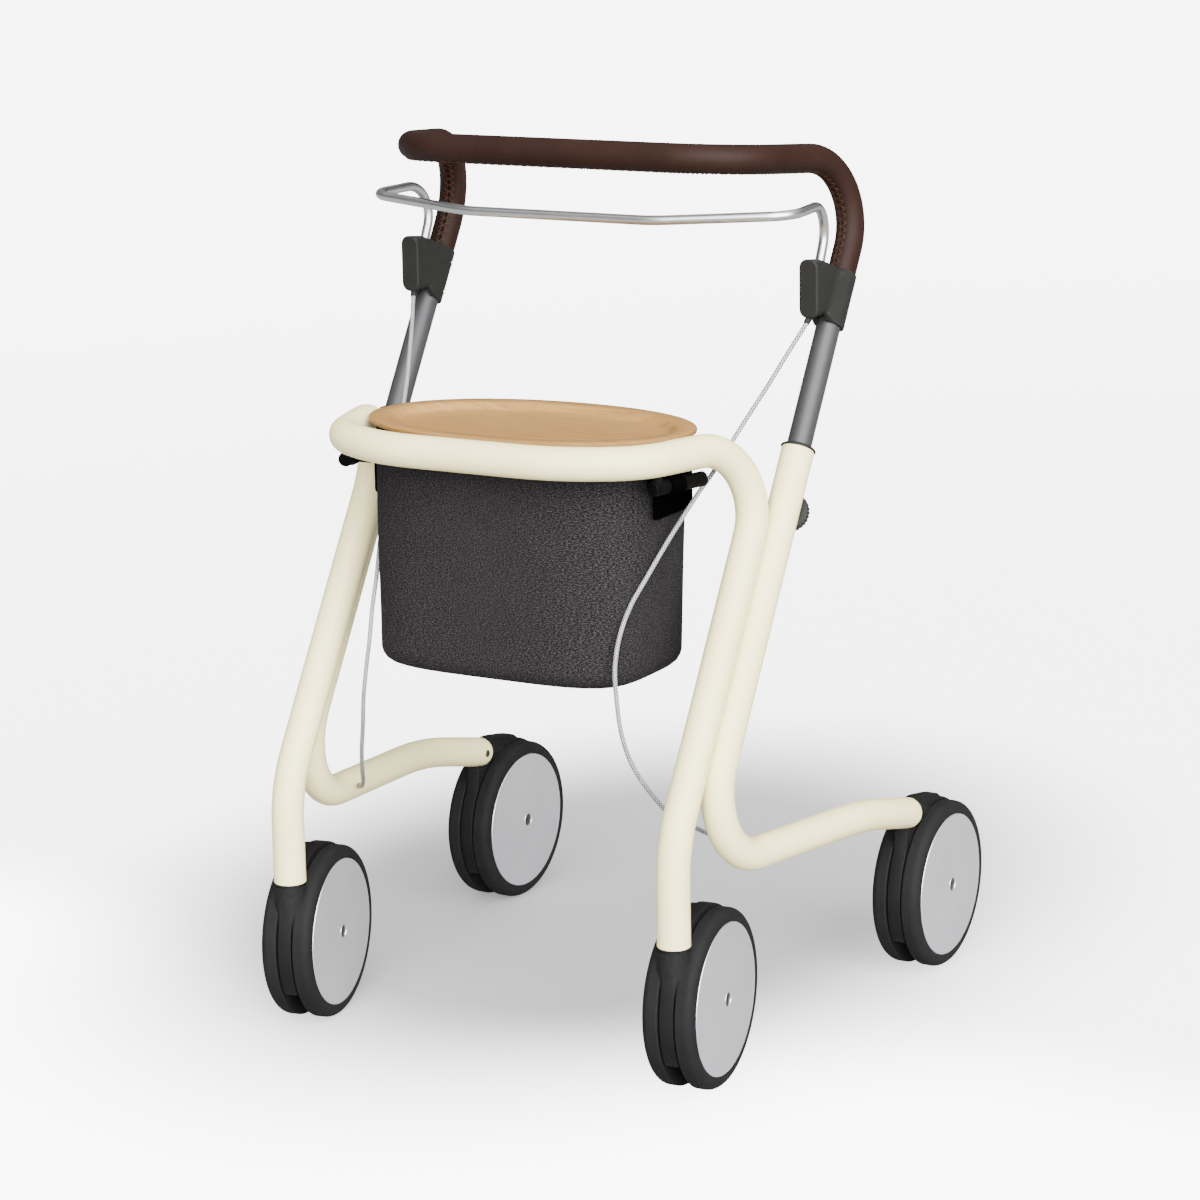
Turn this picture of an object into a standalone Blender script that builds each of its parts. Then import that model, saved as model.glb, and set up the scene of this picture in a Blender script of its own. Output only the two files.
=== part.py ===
"""Four-wheel rollator: bent-tube frame, twin-wheel casters, full-width brake bar, bag and tray.

Metres, +Z up, front at -Y, the user's left at +X. The object stands on z = 0.
"""
import math

import bmesh
import bpy
from mathutils import Matrix, Vector

# Frame tubes
TUBE_D = 0.032
TUBE_WALL = 0.002
FIT = 0.0003              # gap between two pieces that touch
EDGE = 0.001              # small chamfers
LEAN = 0.61               # run back per metre of rise of the legs and the handle stems
LEG_X = 0.2165
LEG_Y = -0.2739           # axis of the front casters
LEG_END_Z = 0.158
LEG_BORE_DEPTH = 0.060
LEG_BEND_Z = 0.256
LEG_BEND_R = 0.125
BAR_Z = 0.6055            # height of the front frame's top loop
CORNER_R = 0.059
SIDE_FRONT = (0.167, -0.231)
SIDE_FRONT_R = 0.071
BAR_BEND = (0.1035, -0.2715)
BAR_BEND_R = 0.166

# Rear tubes, each welded beside a front leg
REAR_STEP_X = 0.0134
REAR_TOP_Z = 0.589
FOOT_BEND_Z = 0.2245
FOOT_BEND_R = 0.068
RUN_BEND = (0.2595, 0.0425, 0.2053)
RUN_BEND_R = 0.438
TAIL = (0.2585, 0.154, 0.177)
SLOT_W = 0.0106
SLOT_H = 0.020
SLOT_DEPTH = 0.040
TONGUE_LENGTH = 0.032
TONGUE_BACK = 0.020       # from the tail's centre to the back of the tongue
TAIL_SCREW_D = 0.006
TAIL_SCREW_HEAD_D = 0.011
TAIL_SCREW_HEAD_H = 0.003
TAIL_SCREW_AHEAD = 0.006  # of the tail's centre

# Handlebar
STEM_D = 0.024
STEM_WALL = 0.002
STEM_END_Z = 0.430
STEM_BORE_DEPTH = 0.100
HANDLE_BEND_Z = 0.854
HANDLE_BEND_R = 0.061
HANDLE_FRONT = (0.1862, 0.2166, 0.8705)   # side, reach ahead of the stem's bend, height
HANDLE_FRONT_R = 0.079
LEATHER_D = 0.028
LEATHER_END_Z = 0.744
COLLAR_D = 0.0346
COLLAR_H = 0.0026
COLLAR_SLEEVE = 0.028
COLLAR_EDGE = 0.0006

# Brake bar and its housings
BRAKE_D = 0.0085
BRAKE_LEAN = 0.465        # run back per metre of rise of the risers
BRAKE_X = 0.225
BRAKE_Z = 0.745
BRAKE_AHEAD = 0.0449      # from the riser's axis back to the stem's, at BRAKE_Z
BRAKE_END_Z = 0.741
BRAKE_TOP_Z = 0.819
BRAKE_TOP_R = 0.030
BRAKE_SIDE = (0.2354, 0.1067, 0.8169)     # side, reach ahead of the riser's top, height
BRAKE_SIDE_R = 0.028
BRAKE_FRONT = (0.104, 0.1418, 0.8103)
BRAKE_FRONT_R = 0.110
SLIDER_D = 0.0105
SLIDER_H = 0.012
HOUSING_D = 0.0306
HOUSING_LOW_Z = 0.699
HOUSING_HIGH_Z = 0.747
LUG_X = 0.2262
LUG_W = 0.020
LUG_CORNER = 0.0085
LUG_AHEAD = 0.0620        # from the lug's face back to the stem's axis, at half height
LUG_DEPTH = 0.0430
LUG_LOW_Z = 0.7118
LUG_HIGH_Z = 0.7687
LUG_EDGE = 0.0015
CAVITY_W = 0.0122
CAVITY_UP = 0.0225        # travel room above and below the slider
CAVITY_DOWN = 0.0115
ROD_HOLE_L = 0.030
SCREW_HEAD_D = 0.0052
SCREW_HEAD_H = 0.0014
SCREW_SHANK_D = 0.0026
SCREW_DEPTH = 0.0021
SCREW_ROOM = 0.0005       # below a screw, in its hole
SCREW_LEVELS = (0.737, 0.709)
SCREW_TURN = math.radians(60)   # from straight back towards the inner side

# Brake cables
CABLE_D = 0.0040
CABLE_HOLE_D = 0.0066
CABLE_BORE_L = 0.024      # through the wall of the rear tube
EXIT_L = 0.034            # the channel out of the housing
EXIT_AHEAD = 0.013        # from the cable's end to the middle of the channel
CABLE_ROUTE = (
    (0.2264, 0.0010, 0.7158), (0.2220, -0.0090, 0.7020), (0.2125, -0.0280, 0.6770),
    (0.2035, -0.0480, 0.6515), (0.1945, -0.0690, 0.6270), (0.1865, -0.0910, 0.6030),
    (0.1800, -0.1140, 0.5795), (0.1735, -0.1370, 0.5595), (0.1660, -0.1580, 0.5370),
    (0.1580, -0.1765, 0.5140), (0.1500, -0.1950, 0.4895), (0.1420, -0.2140, 0.4640),
    (0.1380, -0.2290, 0.4370), (0.1370, -0.2370, 0.4080), (0.1400, -0.2400, 0.3790),
    (0.1445, -0.2400, 0.3470), (0.1510, -0.2330, 0.3165), (0.1620, -0.2200, 0.2880),
    (0.1750, -0.2010, 0.2610), (0.1916, -0.1750, 0.2410), (0.2100, -0.1500, 0.2255),
    (0.2270, -0.1290, 0.2175), (0.2385, -0.1060, 0.2135), (0.2450, -0.0780, 0.2115),
    (0.2510, -0.0250, 0.2082), (0.2560, 0.0250, 0.2045), (0.2585, 0.0800, 0.1960),
    (0.2586, 0.1120, 0.1878),
)
CABLE_HOLE_AT = 21        # the route's point where the cable passes the tube's wall
CABLE_STEP = 0.019

# Clamp knobs
KNOB_DROP = 0.048         # below the rear tube's mouth
KNOB_TURN = math.radians(12)    # towards the inner side
KNOB_D = 0.040
KNOB_TEETH = 12
KNOB_TOOTH = 0.0013
KNOB_H = 0.0115
KNOB_CLEAR = 0.0006       # between the tube and the knob
KNOB_TAPER = 0.003
KNOB_CROWN = 0.004
STUD_D = 0.006

# Wheels and their units
WHEEL_D = 0.175
UNIT_W = 0.0526
WHEEL_GAP = 0.0176        # between the two wheels of a unit
SHOULDER_OUT = 0.007
SHOULDER_IN = 0.006
DISC_D = 0.1486
DISC_T = 0.0028
DISC_SEAT = 0.0034        # depth of the disc's seat in the wheel's face
DISC_DOME = 0.0025
AXLE_D = 0.012
RUNNING = 0.0001          # radial running clearance of an axle or stem
DRUM_D = 0.140
DRUM_DEPTH = 0.010
HUB_D = 0.030
TRAIL = 0.0642
REAR_AXLE_Y = 0.2098
REAR_WHEEL_X = 0.258
CASTER_TURN = {1: math.radians(5.5), -1: math.radians(11.2)}
PLATE_T = 0.0162
BAND_R = 0.086
BAND_HUMP = 0.0058
BAND_LOW = math.radians(-32)
BAND_BACK = math.radians(150)
BAND_STEP = 0.010         # least distance from the lug's end to the next point of the band
LUG_OUTLINE = (           # over the rear carrier, (forward, up) from the tail's centre
    (0.012, -0.010), (0.0, 0.0), (-0.012, 0.0128), (-0.044, 0.0090), (-0.064, 0.0050),
)
HUB_BOSS_R = 0.016
WHEEL_CLEAR = 0.0006      # between a neck and its wheels
NECK_D = 0.0318
NECK_TOP_Z = 0.157
NECK_LOW_Z = 0.098
NECK_SIDES = 20
LEG_ROOM = 0.0012         # between the leg's end and the mudguard that swivels round it
CASTER_STEM_D = 0.012
CASTER_STEM_LOW_Z = 0.133
CASTER_STEM_HIGH_Z = 0.206
BUSH_H = 0.042

# Brake shoes, inside the rear units
SHOE_SPAN = 0.034
SHOE_L = 0.024
SHOE_H = 0.0065
SHOE_GAP = 0.0026         # from the middle of the shoe's face to the drum
SHOE_WINDOW = 0.0040      # room below the shoe

# Bag, its hangers and rails, and the tray
BAG_TOP_W = 0.312
BAG_LOW_W = 0.286
BAG_TOP_Y = (-0.247, -0.062)
BAG_LOW_Y = (-0.238, -0.068)
BAG_TOP_SQUARE = 2.6      # 2 is an ellipse, more is squarer
BAG_LOW_SQUARE = 4.0
BAG_LOW_Z = 0.388
BAG_HEM = 0.016
BAG_WALL = 0.0025
BAG_WAIST = 0.45          # share of the taper that is left at half height
HANGER_L = 0.075
HANGER_BACK = 0.0034      # from the sleeve's middle back to the plate's front edge
HANGER_Z = (0.542, 0.586)
HANGER_T = 0.003
HANGER_EDGE = 0.0012
RAIL_D = 0.0145
RAIL_DROP = 0.003         # between the frame's tube and the rail
RAIL_AHEAD = 0.0943       # from the rail's rear end back to the leg's bend
RAIL_L = 0.068
RAIL_EDGE = 0.0015
SLEEVE_T = 0.0022
SLEEVE_L = 0.018
SLEEVE_AHEAD = 0.031      # of the rail's rear end
ARM_L = 0.0144            # from the plate to the sleeve
ARM_H = 0.0104
TRAY_W = 0.342
TRAY_Y = (-0.257, -0.046)
TRAY_SQUARE = 2.1
TRAY_Z = 0.615            # underside of the rim
TRAY_T = 0.0045
TRAY_RIM = 0.020
TRAY_DEPTH = 0.0075
TRAY_SLOPE = 0.006

# Facets
TUBE_SIDES = 12
FACET_LOSS = 0.0007       # what the facets take off two tubes that lie side by side
HANDLE_SIDES = 10
THIN_SIDES = 8
BEND_STEP = math.radians(24)
WHEEL_STEPS = 20
ROUND_STEPS = 12
SEAT_SIDES = 16
DOME_DEGREES = (30, 55, 78)
OVAL_STEPS = 24

SIDES = {1: "left", -1: "right"}


def remove_start_scene():
    for obj in list(bpy.data.objects):
        bpy.data.objects.remove(obj, do_unlink=True)


def new_collection(name):
    collection = bpy.data.collections.new(name)
    bpy.context.scene.collection.children.link(collection)
    return collection


def new_material(name, color, roughness, metallic=0.0):
    mat = bpy.data.materials.new(name)
    mat.use_nodes = True
    shader = mat.node_tree.nodes["Principled BSDF"]
    shader.inputs["Base Color"].default_value = (*color, 1.0)
    shader.inputs["Roughness"].default_value = roughness
    shader.inputs["Metallic"].default_value = metallic
    mat.diffuse_color = (*color, 1.0)
    return mat


remove_start_scene()
PARTS = new_collection("rollator")
CUTTERS = new_collection("cutters")
CREAM = new_material("cream_lacquer", (0.69, 0.66, 0.56), 0.35)
GREY = new_material("grey_aluminium", (0.24, 0.24, 0.26), 0.40, 0.7)
SATIN = new_material("satin_steel", (0.62, 0.62, 0.63), 0.28, 1.0)
LEATHER = new_material("brown_leather", (0.07, 0.038, 0.028), 0.55)
OLIVE = new_material("dark_olive_plastic", (0.055, 0.055, 0.05), 0.55)
BLACK = new_material("black_plastic", (0.012, 0.012, 0.012), 0.5)
TYRE = new_material("grey_tyre", (0.05, 0.047, 0.047), 0.7)
DISC = new_material("brushed_disc", (0.60, 0.60, 0.61), 0.30, 1.0)
FELT = new_material("anthracite_cloth", (0.045, 0.043, 0.046), 0.95)
WOOD = new_material("light_wood", (0.56, 0.38, 0.21), 0.45)


def at_side(point, side=1):
    return Vector((point[0] * side, point[1], point[2]))


def add_object(name, data, mat):
    obj = bpy.data.objects.new(name, data)
    PARTS.objects.link(obj)
    if mat:
        data.materials.append(mat)
    return obj


def hide_cutter(obj):
    for collection in list(obj.users_collection):
        collection.objects.unlink(obj)
    CUTTERS.objects.link(obj)
    obj.hide_render = True
    obj.display_type = "WIRE"
    return obj


def difference(target, cutter):
    hide_cutter(cutter)
    mod = target.modifiers.new("cut_" + cutter.name, "BOOLEAN")
    mod.operation = "DIFFERENCE"
    mod.solver = "EXACT"
    mod.object = cutter


def union(target, tool):
    hide_cutter(tool)
    mod = target.modifiers.new("join_" + tool.name, "BOOLEAN")
    mod.operation = "UNION"
    mod.solver = "EXACT"
    mod.object = tool


def shade(obj, angle=math.radians(35)):
    obj.data.shade_smooth()
    obj.data.set_sharp_from_angle(angle=angle)


def filleted(corners, radii, step):
    """The line through the corners, with an arc of its own radius at each inner corner."""
    path = [corners[0]]
    for before, corner, after, radius in zip(corners, corners[1:], corners[2:], radii):
        back = (before - corner).normalized()
        ahead = (after - corner).normalized()
        turn = math.pi - back.angle(ahead)
        start = corner + back * radius * math.tan(turn / 2)
        centre = corner + (back + ahead).normalized() * radius / math.cos(turn / 2)
        axis = (start - centre).cross(corner - centre).normalized()
        count = max(2, math.ceil(turn / step))
        for k in range(count + 1):
            path.append(centre + Matrix.Rotation(turn * k / count, 3, axis) @ (start - centre))
    path.append(corners[-1])
    return path


def mirrored(half):
    """A path from the left end over the middle plane to the right end."""
    other = [Vector((-p.x, p.y, p.z)) for p in reversed(half)]
    return half[:-1] + other[1:] if abs(half[-1].x) < 1e-6 else half + other


def tube_curve(name, path, radius, mat, sides=TUBE_SIDES, caps=True, factors=None):
    data = bpy.data.curves.new(name, "CURVE")
    data.dimensions = "3D"
    data.bevel_depth = radius
    data.bevel_resolution = (sides - 4) // 2
    data.use_fill_caps = caps
    spline = data.splines.new("POLY")
    spline.points.add(len(path) - 1)
    for k, point in enumerate(path):
        spline.points[k].co = (*point, 1.0)
        spline.points[k].radius = factors[k] if factors else 1.0
    return add_object(name, data, mat)


def as_mesh(obj):
    """A curve object's surface as a mesh object, its caps welded on."""
    graph = bpy.context.evaluated_depsgraph_get()
    graph.update()
    data = bpy.data.meshes.new_from_object(obj.evaluated_get(graph))
    bm = bmesh.new()
    bm.from_mesh(data)
    bmesh.ops.remove_doubles(bm, verts=bm.verts, dist=1e-6)
    bm.to_mesh(data)
    bm.free()
    name = obj.name
    place = obj.matrix_world.copy()
    bpy.data.objects.remove(obj, do_unlink=True)
    mesh_obj = bpy.data.objects.new(name, data)
    mesh_obj.matrix_world = place
    PARTS.objects.link(mesh_obj)
    return mesh_obj


def hollow_tube(name, path, radius, wall, mat, sides):
    obj = as_mesh(tube_curve(name, path, radius, mat, sides, caps=False))
    mod = obj.modifiers.new("wall", "SOLIDIFY")
    mod.thickness = wall
    mod.offset = -1
    shade(obj)
    return obj


def turned(name, profile, steps, mat, closed=False):
    """A profile of (radius, height) turned about local Z; its outer side runs downwards."""
    bm = bmesh.new()
    verts = [bm.verts.new((r, 0, h)) for r, h in profile]
    for a, b in zip(verts, verts[1:]):
        bm.edges.new((a, b))
    if closed:
        bm.edges.new((verts[-1], verts[0]))
    data = bpy.data.meshes.new(name)
    bm.to_mesh(data)
    bm.free()
    obj = add_object(name, data, mat)
    mod = obj.modifiers.new("turn", "SCREW")
    mod.axis = "Z"
    mod.steps = steps
    mod.render_steps = steps
    mod.use_merge_vertices = True
    mod.merge_threshold = 1e-6
    mod.use_smooth_shade = True
    return obj


def loft(name, rings, mat):
    """A closed skin over rings of equal point counts, capped at the first and the last."""
    bm = bmesh.new()
    rows = [[bm.verts.new(p) for p in ring] for ring in rings]
    count = len(rows[0])
    for low, high in zip(rows, rows[1:]):
        for k in range(count):
            n = (k + 1) % count
            bm.faces.new((low[k], low[n], high[n], high[k]))
    bm.faces.new(list(reversed(rows[0])))
    bm.faces.new(rows[-1])
    bmesh.ops.recalc_face_normals(bm, faces=bm.faces)
    data = bpy.data.meshes.new(name)
    bm.to_mesh(data)
    bm.free()
    obj = add_object(name, data, mat)
    shade(obj)
    return obj


def cylinder(name, radius, length, segments=ROUND_STEPS, mat=None):
    """A cylinder on local Z, centred on its origin."""
    bm = bmesh.new()
    bmesh.ops.create_cone(bm, cap_ends=True, segments=segments, radius1=radius,
                          radius2=radius, depth=length)
    data = bpy.data.meshes.new(name)
    bm.to_mesh(data)
    bm.free()
    obj = add_object(name, data, mat)
    shade(obj)
    return obj


def box(name, size, mat=None):
    bm = bmesh.new()
    bmesh.ops.create_cube(bm, size=1.0, matrix=Matrix.Diagonal((*size, 1.0)))
    data = bpy.data.meshes.new(name)
    bm.to_mesh(data)
    bm.free()
    return add_object(name, data, mat)


def slab(name, outline, thickness, mat=None):
    """A flat outline of (forward, up) points in the plane across X, as a plate on x = 0."""
    data = bpy.data.curves.new(name, "CURVE")
    data.dimensions = "2D"
    data.fill_mode = "BOTH"
    data.extrude = thickness / 2
    spline = data.splines.new("POLY")
    spline.points.add(len(outline) - 1)
    for k, (forward, up) in enumerate(outline):
        spline.points[k].co = (forward, up, 0.0, 1.0)
    spline.use_cyclic_u = True
    obj = as_mesh(add_object(name, data, mat))
    turn = Matrix(((0, 0, 1, 0), (-1, 0, 0, 0), (0, 1, 0, 0), (0, 0, 0, 1)))
    obj.data.transform(turn)
    bm = bmesh.new()
    bm.from_mesh(obj.data)
    bmesh.ops.recalc_face_normals(bm, faces=bm.faces)
    bm.to_mesh(obj.data)
    bm.free()
    if mat and not obj.data.materials:
        obj.data.materials.append(mat)
    return obj


def oval(width, y_front, y_back, square, z):
    """Points round an oval between an ellipse and an oblong, level at z."""
    points = []
    for k in range(OVAL_STEPS):
        angle = 2 * math.pi * (k + 0.5) / OVAL_STEPS
        across = math.copysign(abs(math.cos(angle)) ** (2 / square), math.cos(angle))
        back = math.copysign(abs(math.sin(angle)) ** (2 / square), math.sin(angle))
        y = (y_front + y_back) / 2 + back * (y_back - y_front) / 2
        points.append(Vector((across * width / 2, y, z)))
    return points


def along(direction, origin):
    """A place whose local Z points along the direction."""
    turn = Vector((0, 0, 1)).rotation_difference(direction).to_matrix().to_4x4()
    return Matrix.Translation(origin) @ turn


def bore_radius(radius, sides, clearance=RUNNING):
    """The vertex radius of a faceted bore that clears a round pin by the clearance."""
    return (radius + clearance) / math.cos(math.pi / sides)


# Lines that several pieces share
STEM_DIR = Vector((0, LEAN, 1)).normalized()
STEM_BACK = Vector((0, 1, -LEAN)).normalized()
BRAKE_DIR = Vector((0, BRAKE_LEAN, 1)).normalized()
STEM_X = LEG_X + REAR_STEP_X
TUBE_PITCH = TUBE_D + FIT - FACET_LOSS
STEM_STEP_Y = math.sqrt(TUBE_PITCH ** 2 - REAR_STEP_X ** 2) * math.sqrt(1 + LEAN ** 2)
TUBE_R = TUBE_D / 2
BORE_R = TUBE_R - TUBE_WALL
STEM_R = STEM_D / 2
KNOB_Z = REAR_TOP_Z - KNOB_DROP
HOUSING_H = HOUSING_HIGH_Z - HOUSING_LOW_Z
HALF_GAP = WHEEL_GAP / 2
WHEEL_R = WHEEL_D / 2
BAG_TOP_Z = TRAY_Z - FIT
WAIST_Z = (BAG_LOW_Z + BAG_TOP_Z) / 2


def leg_line(z):
    """Where the leaning part of a front leg stands back at height z."""
    return LEG_Y + (z - LEG_BEND_Z) * LEAN


def stem_line(z):
    """Where a rear tube and its handle stem stand back at height z."""
    return leg_line(z) + STEM_STEP_Y


def stem_point(z, side=1):
    return Vector((STEM_X * side, stem_line(z), z))


def riser_point(z, side=1):
    y = stem_line(BRAKE_Z) - BRAKE_AHEAD + (z - BRAKE_Z) * BRAKE_LEAN
    return Vector((BRAKE_X * side, y, z))


def ahead_of(y, reach):
    """The point at a (side, reach ahead, height) from where something stands back at y."""
    return Vector((reach[0], y - reach[1], reach[2]))


def front_path():
    corners = [
        Vector((LEG_X, LEG_Y, LEG_END_Z)),
        Vector((LEG_X, LEG_Y, LEG_BEND_Z)),
        Vector((LEG_X, leg_line(BAR_Z), BAR_Z)),
        Vector((*SIDE_FRONT, BAR_Z)),
        Vector((*BAR_BEND, BAR_Z)),
        Vector((0, BAR_BEND[1], BAR_Z)),
    ]
    return mirrored(filleted(corners, (LEG_BEND_R, CORNER_R, SIDE_FRONT_R, BAR_BEND_R), BEND_STEP))


def make_front_frame():
    frame = as_mesh(tube_curve("front_frame", front_path(), TUBE_R, CREAM))
    shade(frame)
    for side in SIDES:
        bore = cylinder("leg_bore_" + SIDES[side], BORE_R, 2 * LEG_BORE_DEPTH)
        bore.location = (LEG_X * side, LEG_Y, LEG_END_Z)
        difference(frame, bore)


def rear_path(side, top):
    corners = [
        top,
        stem_point(FOOT_BEND_Z, side),
        at_side(RUN_BEND, side),
        at_side(TAIL, side),
    ]
    return filleted(corners, (FOOT_BEND_R, RUN_BEND_R), BEND_STEP)


def add_dome(path, factors, reach):
    """Rounds off the end of a tube's path; reach is the vector from there to the dome's tip."""
    centre = path[-1]
    for degrees in DOME_DEGREES:
        angle = math.radians(degrees)
        path.append(centre + reach * math.sin(angle))
        factors.append(math.cos(angle))


def tail_direction(side):
    return (at_side(TAIL, side) - at_side(RUN_BEND, side)).normalized()


def make_rear_tube(side):
    name = "rear_tube_" + SIDES[side]
    path = rear_path(side, stem_point(REAR_TOP_Z, side))
    run = tail_direction(side)
    factors = [1.0] * len(path)
    add_dome(path, factors, run * TUBE_R)
    tube = as_mesh(tube_curve(name, path, TUBE_R, CREAM, factors=factors))
    shade(tube)
    mouth = stem_point(REAR_TOP_Z, side) + STEM_DIR * TUBE_R
    hollow = rear_path(side, mouth)
    inner = as_mesh(tube_curve("hollow_" + name, hollow, BORE_R, None))
    difference(tube, inner)
    slot = box("slot_" + name, (SLOT_W, SLOT_DEPTH, SLOT_H))
    slot.matrix_world = along(run, at_side(TAIL, side)) @ Matrix.Rotation(math.pi / 2, 4, "X")
    difference(tube, slot)
    difference(tube, cable_bore("cable_hole_" + name, side))
    stud_hole = cylinder("stud_hole_" + name, STUD_D / 2 + FIT, TUBE_R)
    out = knob_direction(side)
    stud_hole.matrix_world = along(out, stem_point(KNOB_Z, side) + out * TUBE_R)
    difference(tube, stud_hole)
    screw_hole = cylinder("screw_hole_" + name, TAIL_SCREW_D / 2 + FIT, TUBE_R)
    place = tail_screw_place(side)
    screw_hole.matrix_world = along(Vector((-side, 0, 0)), place)
    difference(tube, screw_hole)
    return tube


def tail_screw_place(side):
    """Where the tail screw meets the tube's inner face."""
    centre = at_side(TAIL, side) - tail_direction(side) * TAIL_SCREW_AHEAD
    return centre + Vector((-side * TUBE_R, 0, 0))


def make_tail_screw(side):
    shank = TAIL_SCREW_D / 2
    head = TAIL_SCREW_HEAD_D / 2
    top = TAIL_SCREW_HEAD_H
    reach = TUBE_R + SLOT_W / 2 - FIT
    profile = [(0, top), (head * 0.7, top), (head, top * 0.4), (head, FIT), (shank, FIT),
               (shank, -reach), (0, -reach)]
    screw = turned("rear_tube_screw_" + SIDES[side], profile, 10, SATIN)
    screw.matrix_world = along(Vector((-side, 0, 0)), tail_screw_place(side))


def make_collar(side):
    outer = COLLAR_D / 2
    sleeve = BORE_R * math.cos(math.pi / TUBE_SIDES) - FIT
    inner = bore_radius(STEM_R, ROUND_STEPS, FIT / 2)
    profile = [(outer - COLLAR_EDGE, COLLAR_H), (outer, COLLAR_H - COLLAR_EDGE), (outer, FIT),
               (sleeve, FIT), (sleeve, -COLLAR_SLEEVE), (inner, -COLLAR_SLEEVE),
               (inner, COLLAR_H)]
    collar = turned("stem_collar_" + SIDES[side], profile, ROUND_STEPS, BLACK, closed=True)
    collar.matrix_world = along(STEM_DIR, stem_point(REAR_TOP_Z, side))


def handle_path(low_z):
    front = ahead_of(stem_line(HANDLE_BEND_Z), HANDLE_FRONT)
    corners = [
        stem_point(low_z),
        stem_point(HANDLE_BEND_Z),
        front,
        Vector((0, front.y, front.z)),
    ]
    return mirrored(filleted(corners, (HANDLE_BEND_R, HANDLE_FRONT_R), BEND_STEP))


def make_handlebar():
    bar = as_mesh(tube_curve("handlebar_tube", handle_path(STEM_END_Z), STEM_R, GREY, HANDLE_SIDES))
    shade(bar)
    for side in SIDES:
        bore = cylinder("stem_bore_" + SIDES[side], STEM_R - STEM_WALL, 2 * STEM_BORE_DEPTH)
        bore.matrix_world = along(STEM_DIR, stem_point(STEM_END_Z, side))
        difference(bar, bore)
    wall = (LEATHER_D - STEM_D) / 2 - FIT
    leather = handle_path(LEATHER_END_Z)
    hollow_tube("leather_grip", leather, LEATHER_D / 2, wall, LEATHER, HANDLE_SIDES)


def make_brake_bar():
    top = riser_point(BRAKE_TOP_Z)
    front = ahead_of(top.y, BRAKE_FRONT)
    corners = [
        riser_point(BRAKE_END_Z),
        top,
        ahead_of(top.y, BRAKE_SIDE),
        front,
        Vector((0, front.y, front.z)),
    ]
    path = mirrored(filleted(corners, (BRAKE_TOP_R, BRAKE_SIDE_R, BRAKE_FRONT_R), BEND_STEP))
    bar = tube_curve("brake_bar", path, BRAKE_D / 2, SATIN, THIN_SIDES)
    shade(as_mesh(bar))


def make_slider(side):
    radius = SLIDER_D / 2
    top = -FIT
    low = top - SLIDER_H
    profile = [(0, top), (radius - EDGE, top), (radius, top - EDGE), (radius, low + EDGE),
               (radius - EDGE, low), (0, low)]
    slider = turned("brake_slider_" + SIDES[side], profile, 12, BLACK)
    slider.matrix_world = along(BRAKE_DIR, riser_point(BRAKE_END_Z, side))


def lug_outline(inset):
    """Points (x, z) round the lug's front face, drawn in by the inset."""
    radius = LUG_CORNER - inset
    half_w = LUG_W / 2 - LUG_CORNER
    half_h = (LUG_HIGH_Z - LUG_LOW_Z) / 2 - LUG_CORNER
    mid = (LUG_HIGH_Z + LUG_LOW_Z) / 2
    points = []
    for sx, sz, start in ((1, 1, 0.0), (-1, 1, 90.0), (-1, -1, 180.0), (1, -1, 270.0)):
        for k in range(3):
            angle = math.radians(start + 45.0 * k)
            points.append((sx * half_w + radius * math.cos(angle),
                           mid + sz * half_h + radius * math.sin(angle)))
    return points


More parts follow.
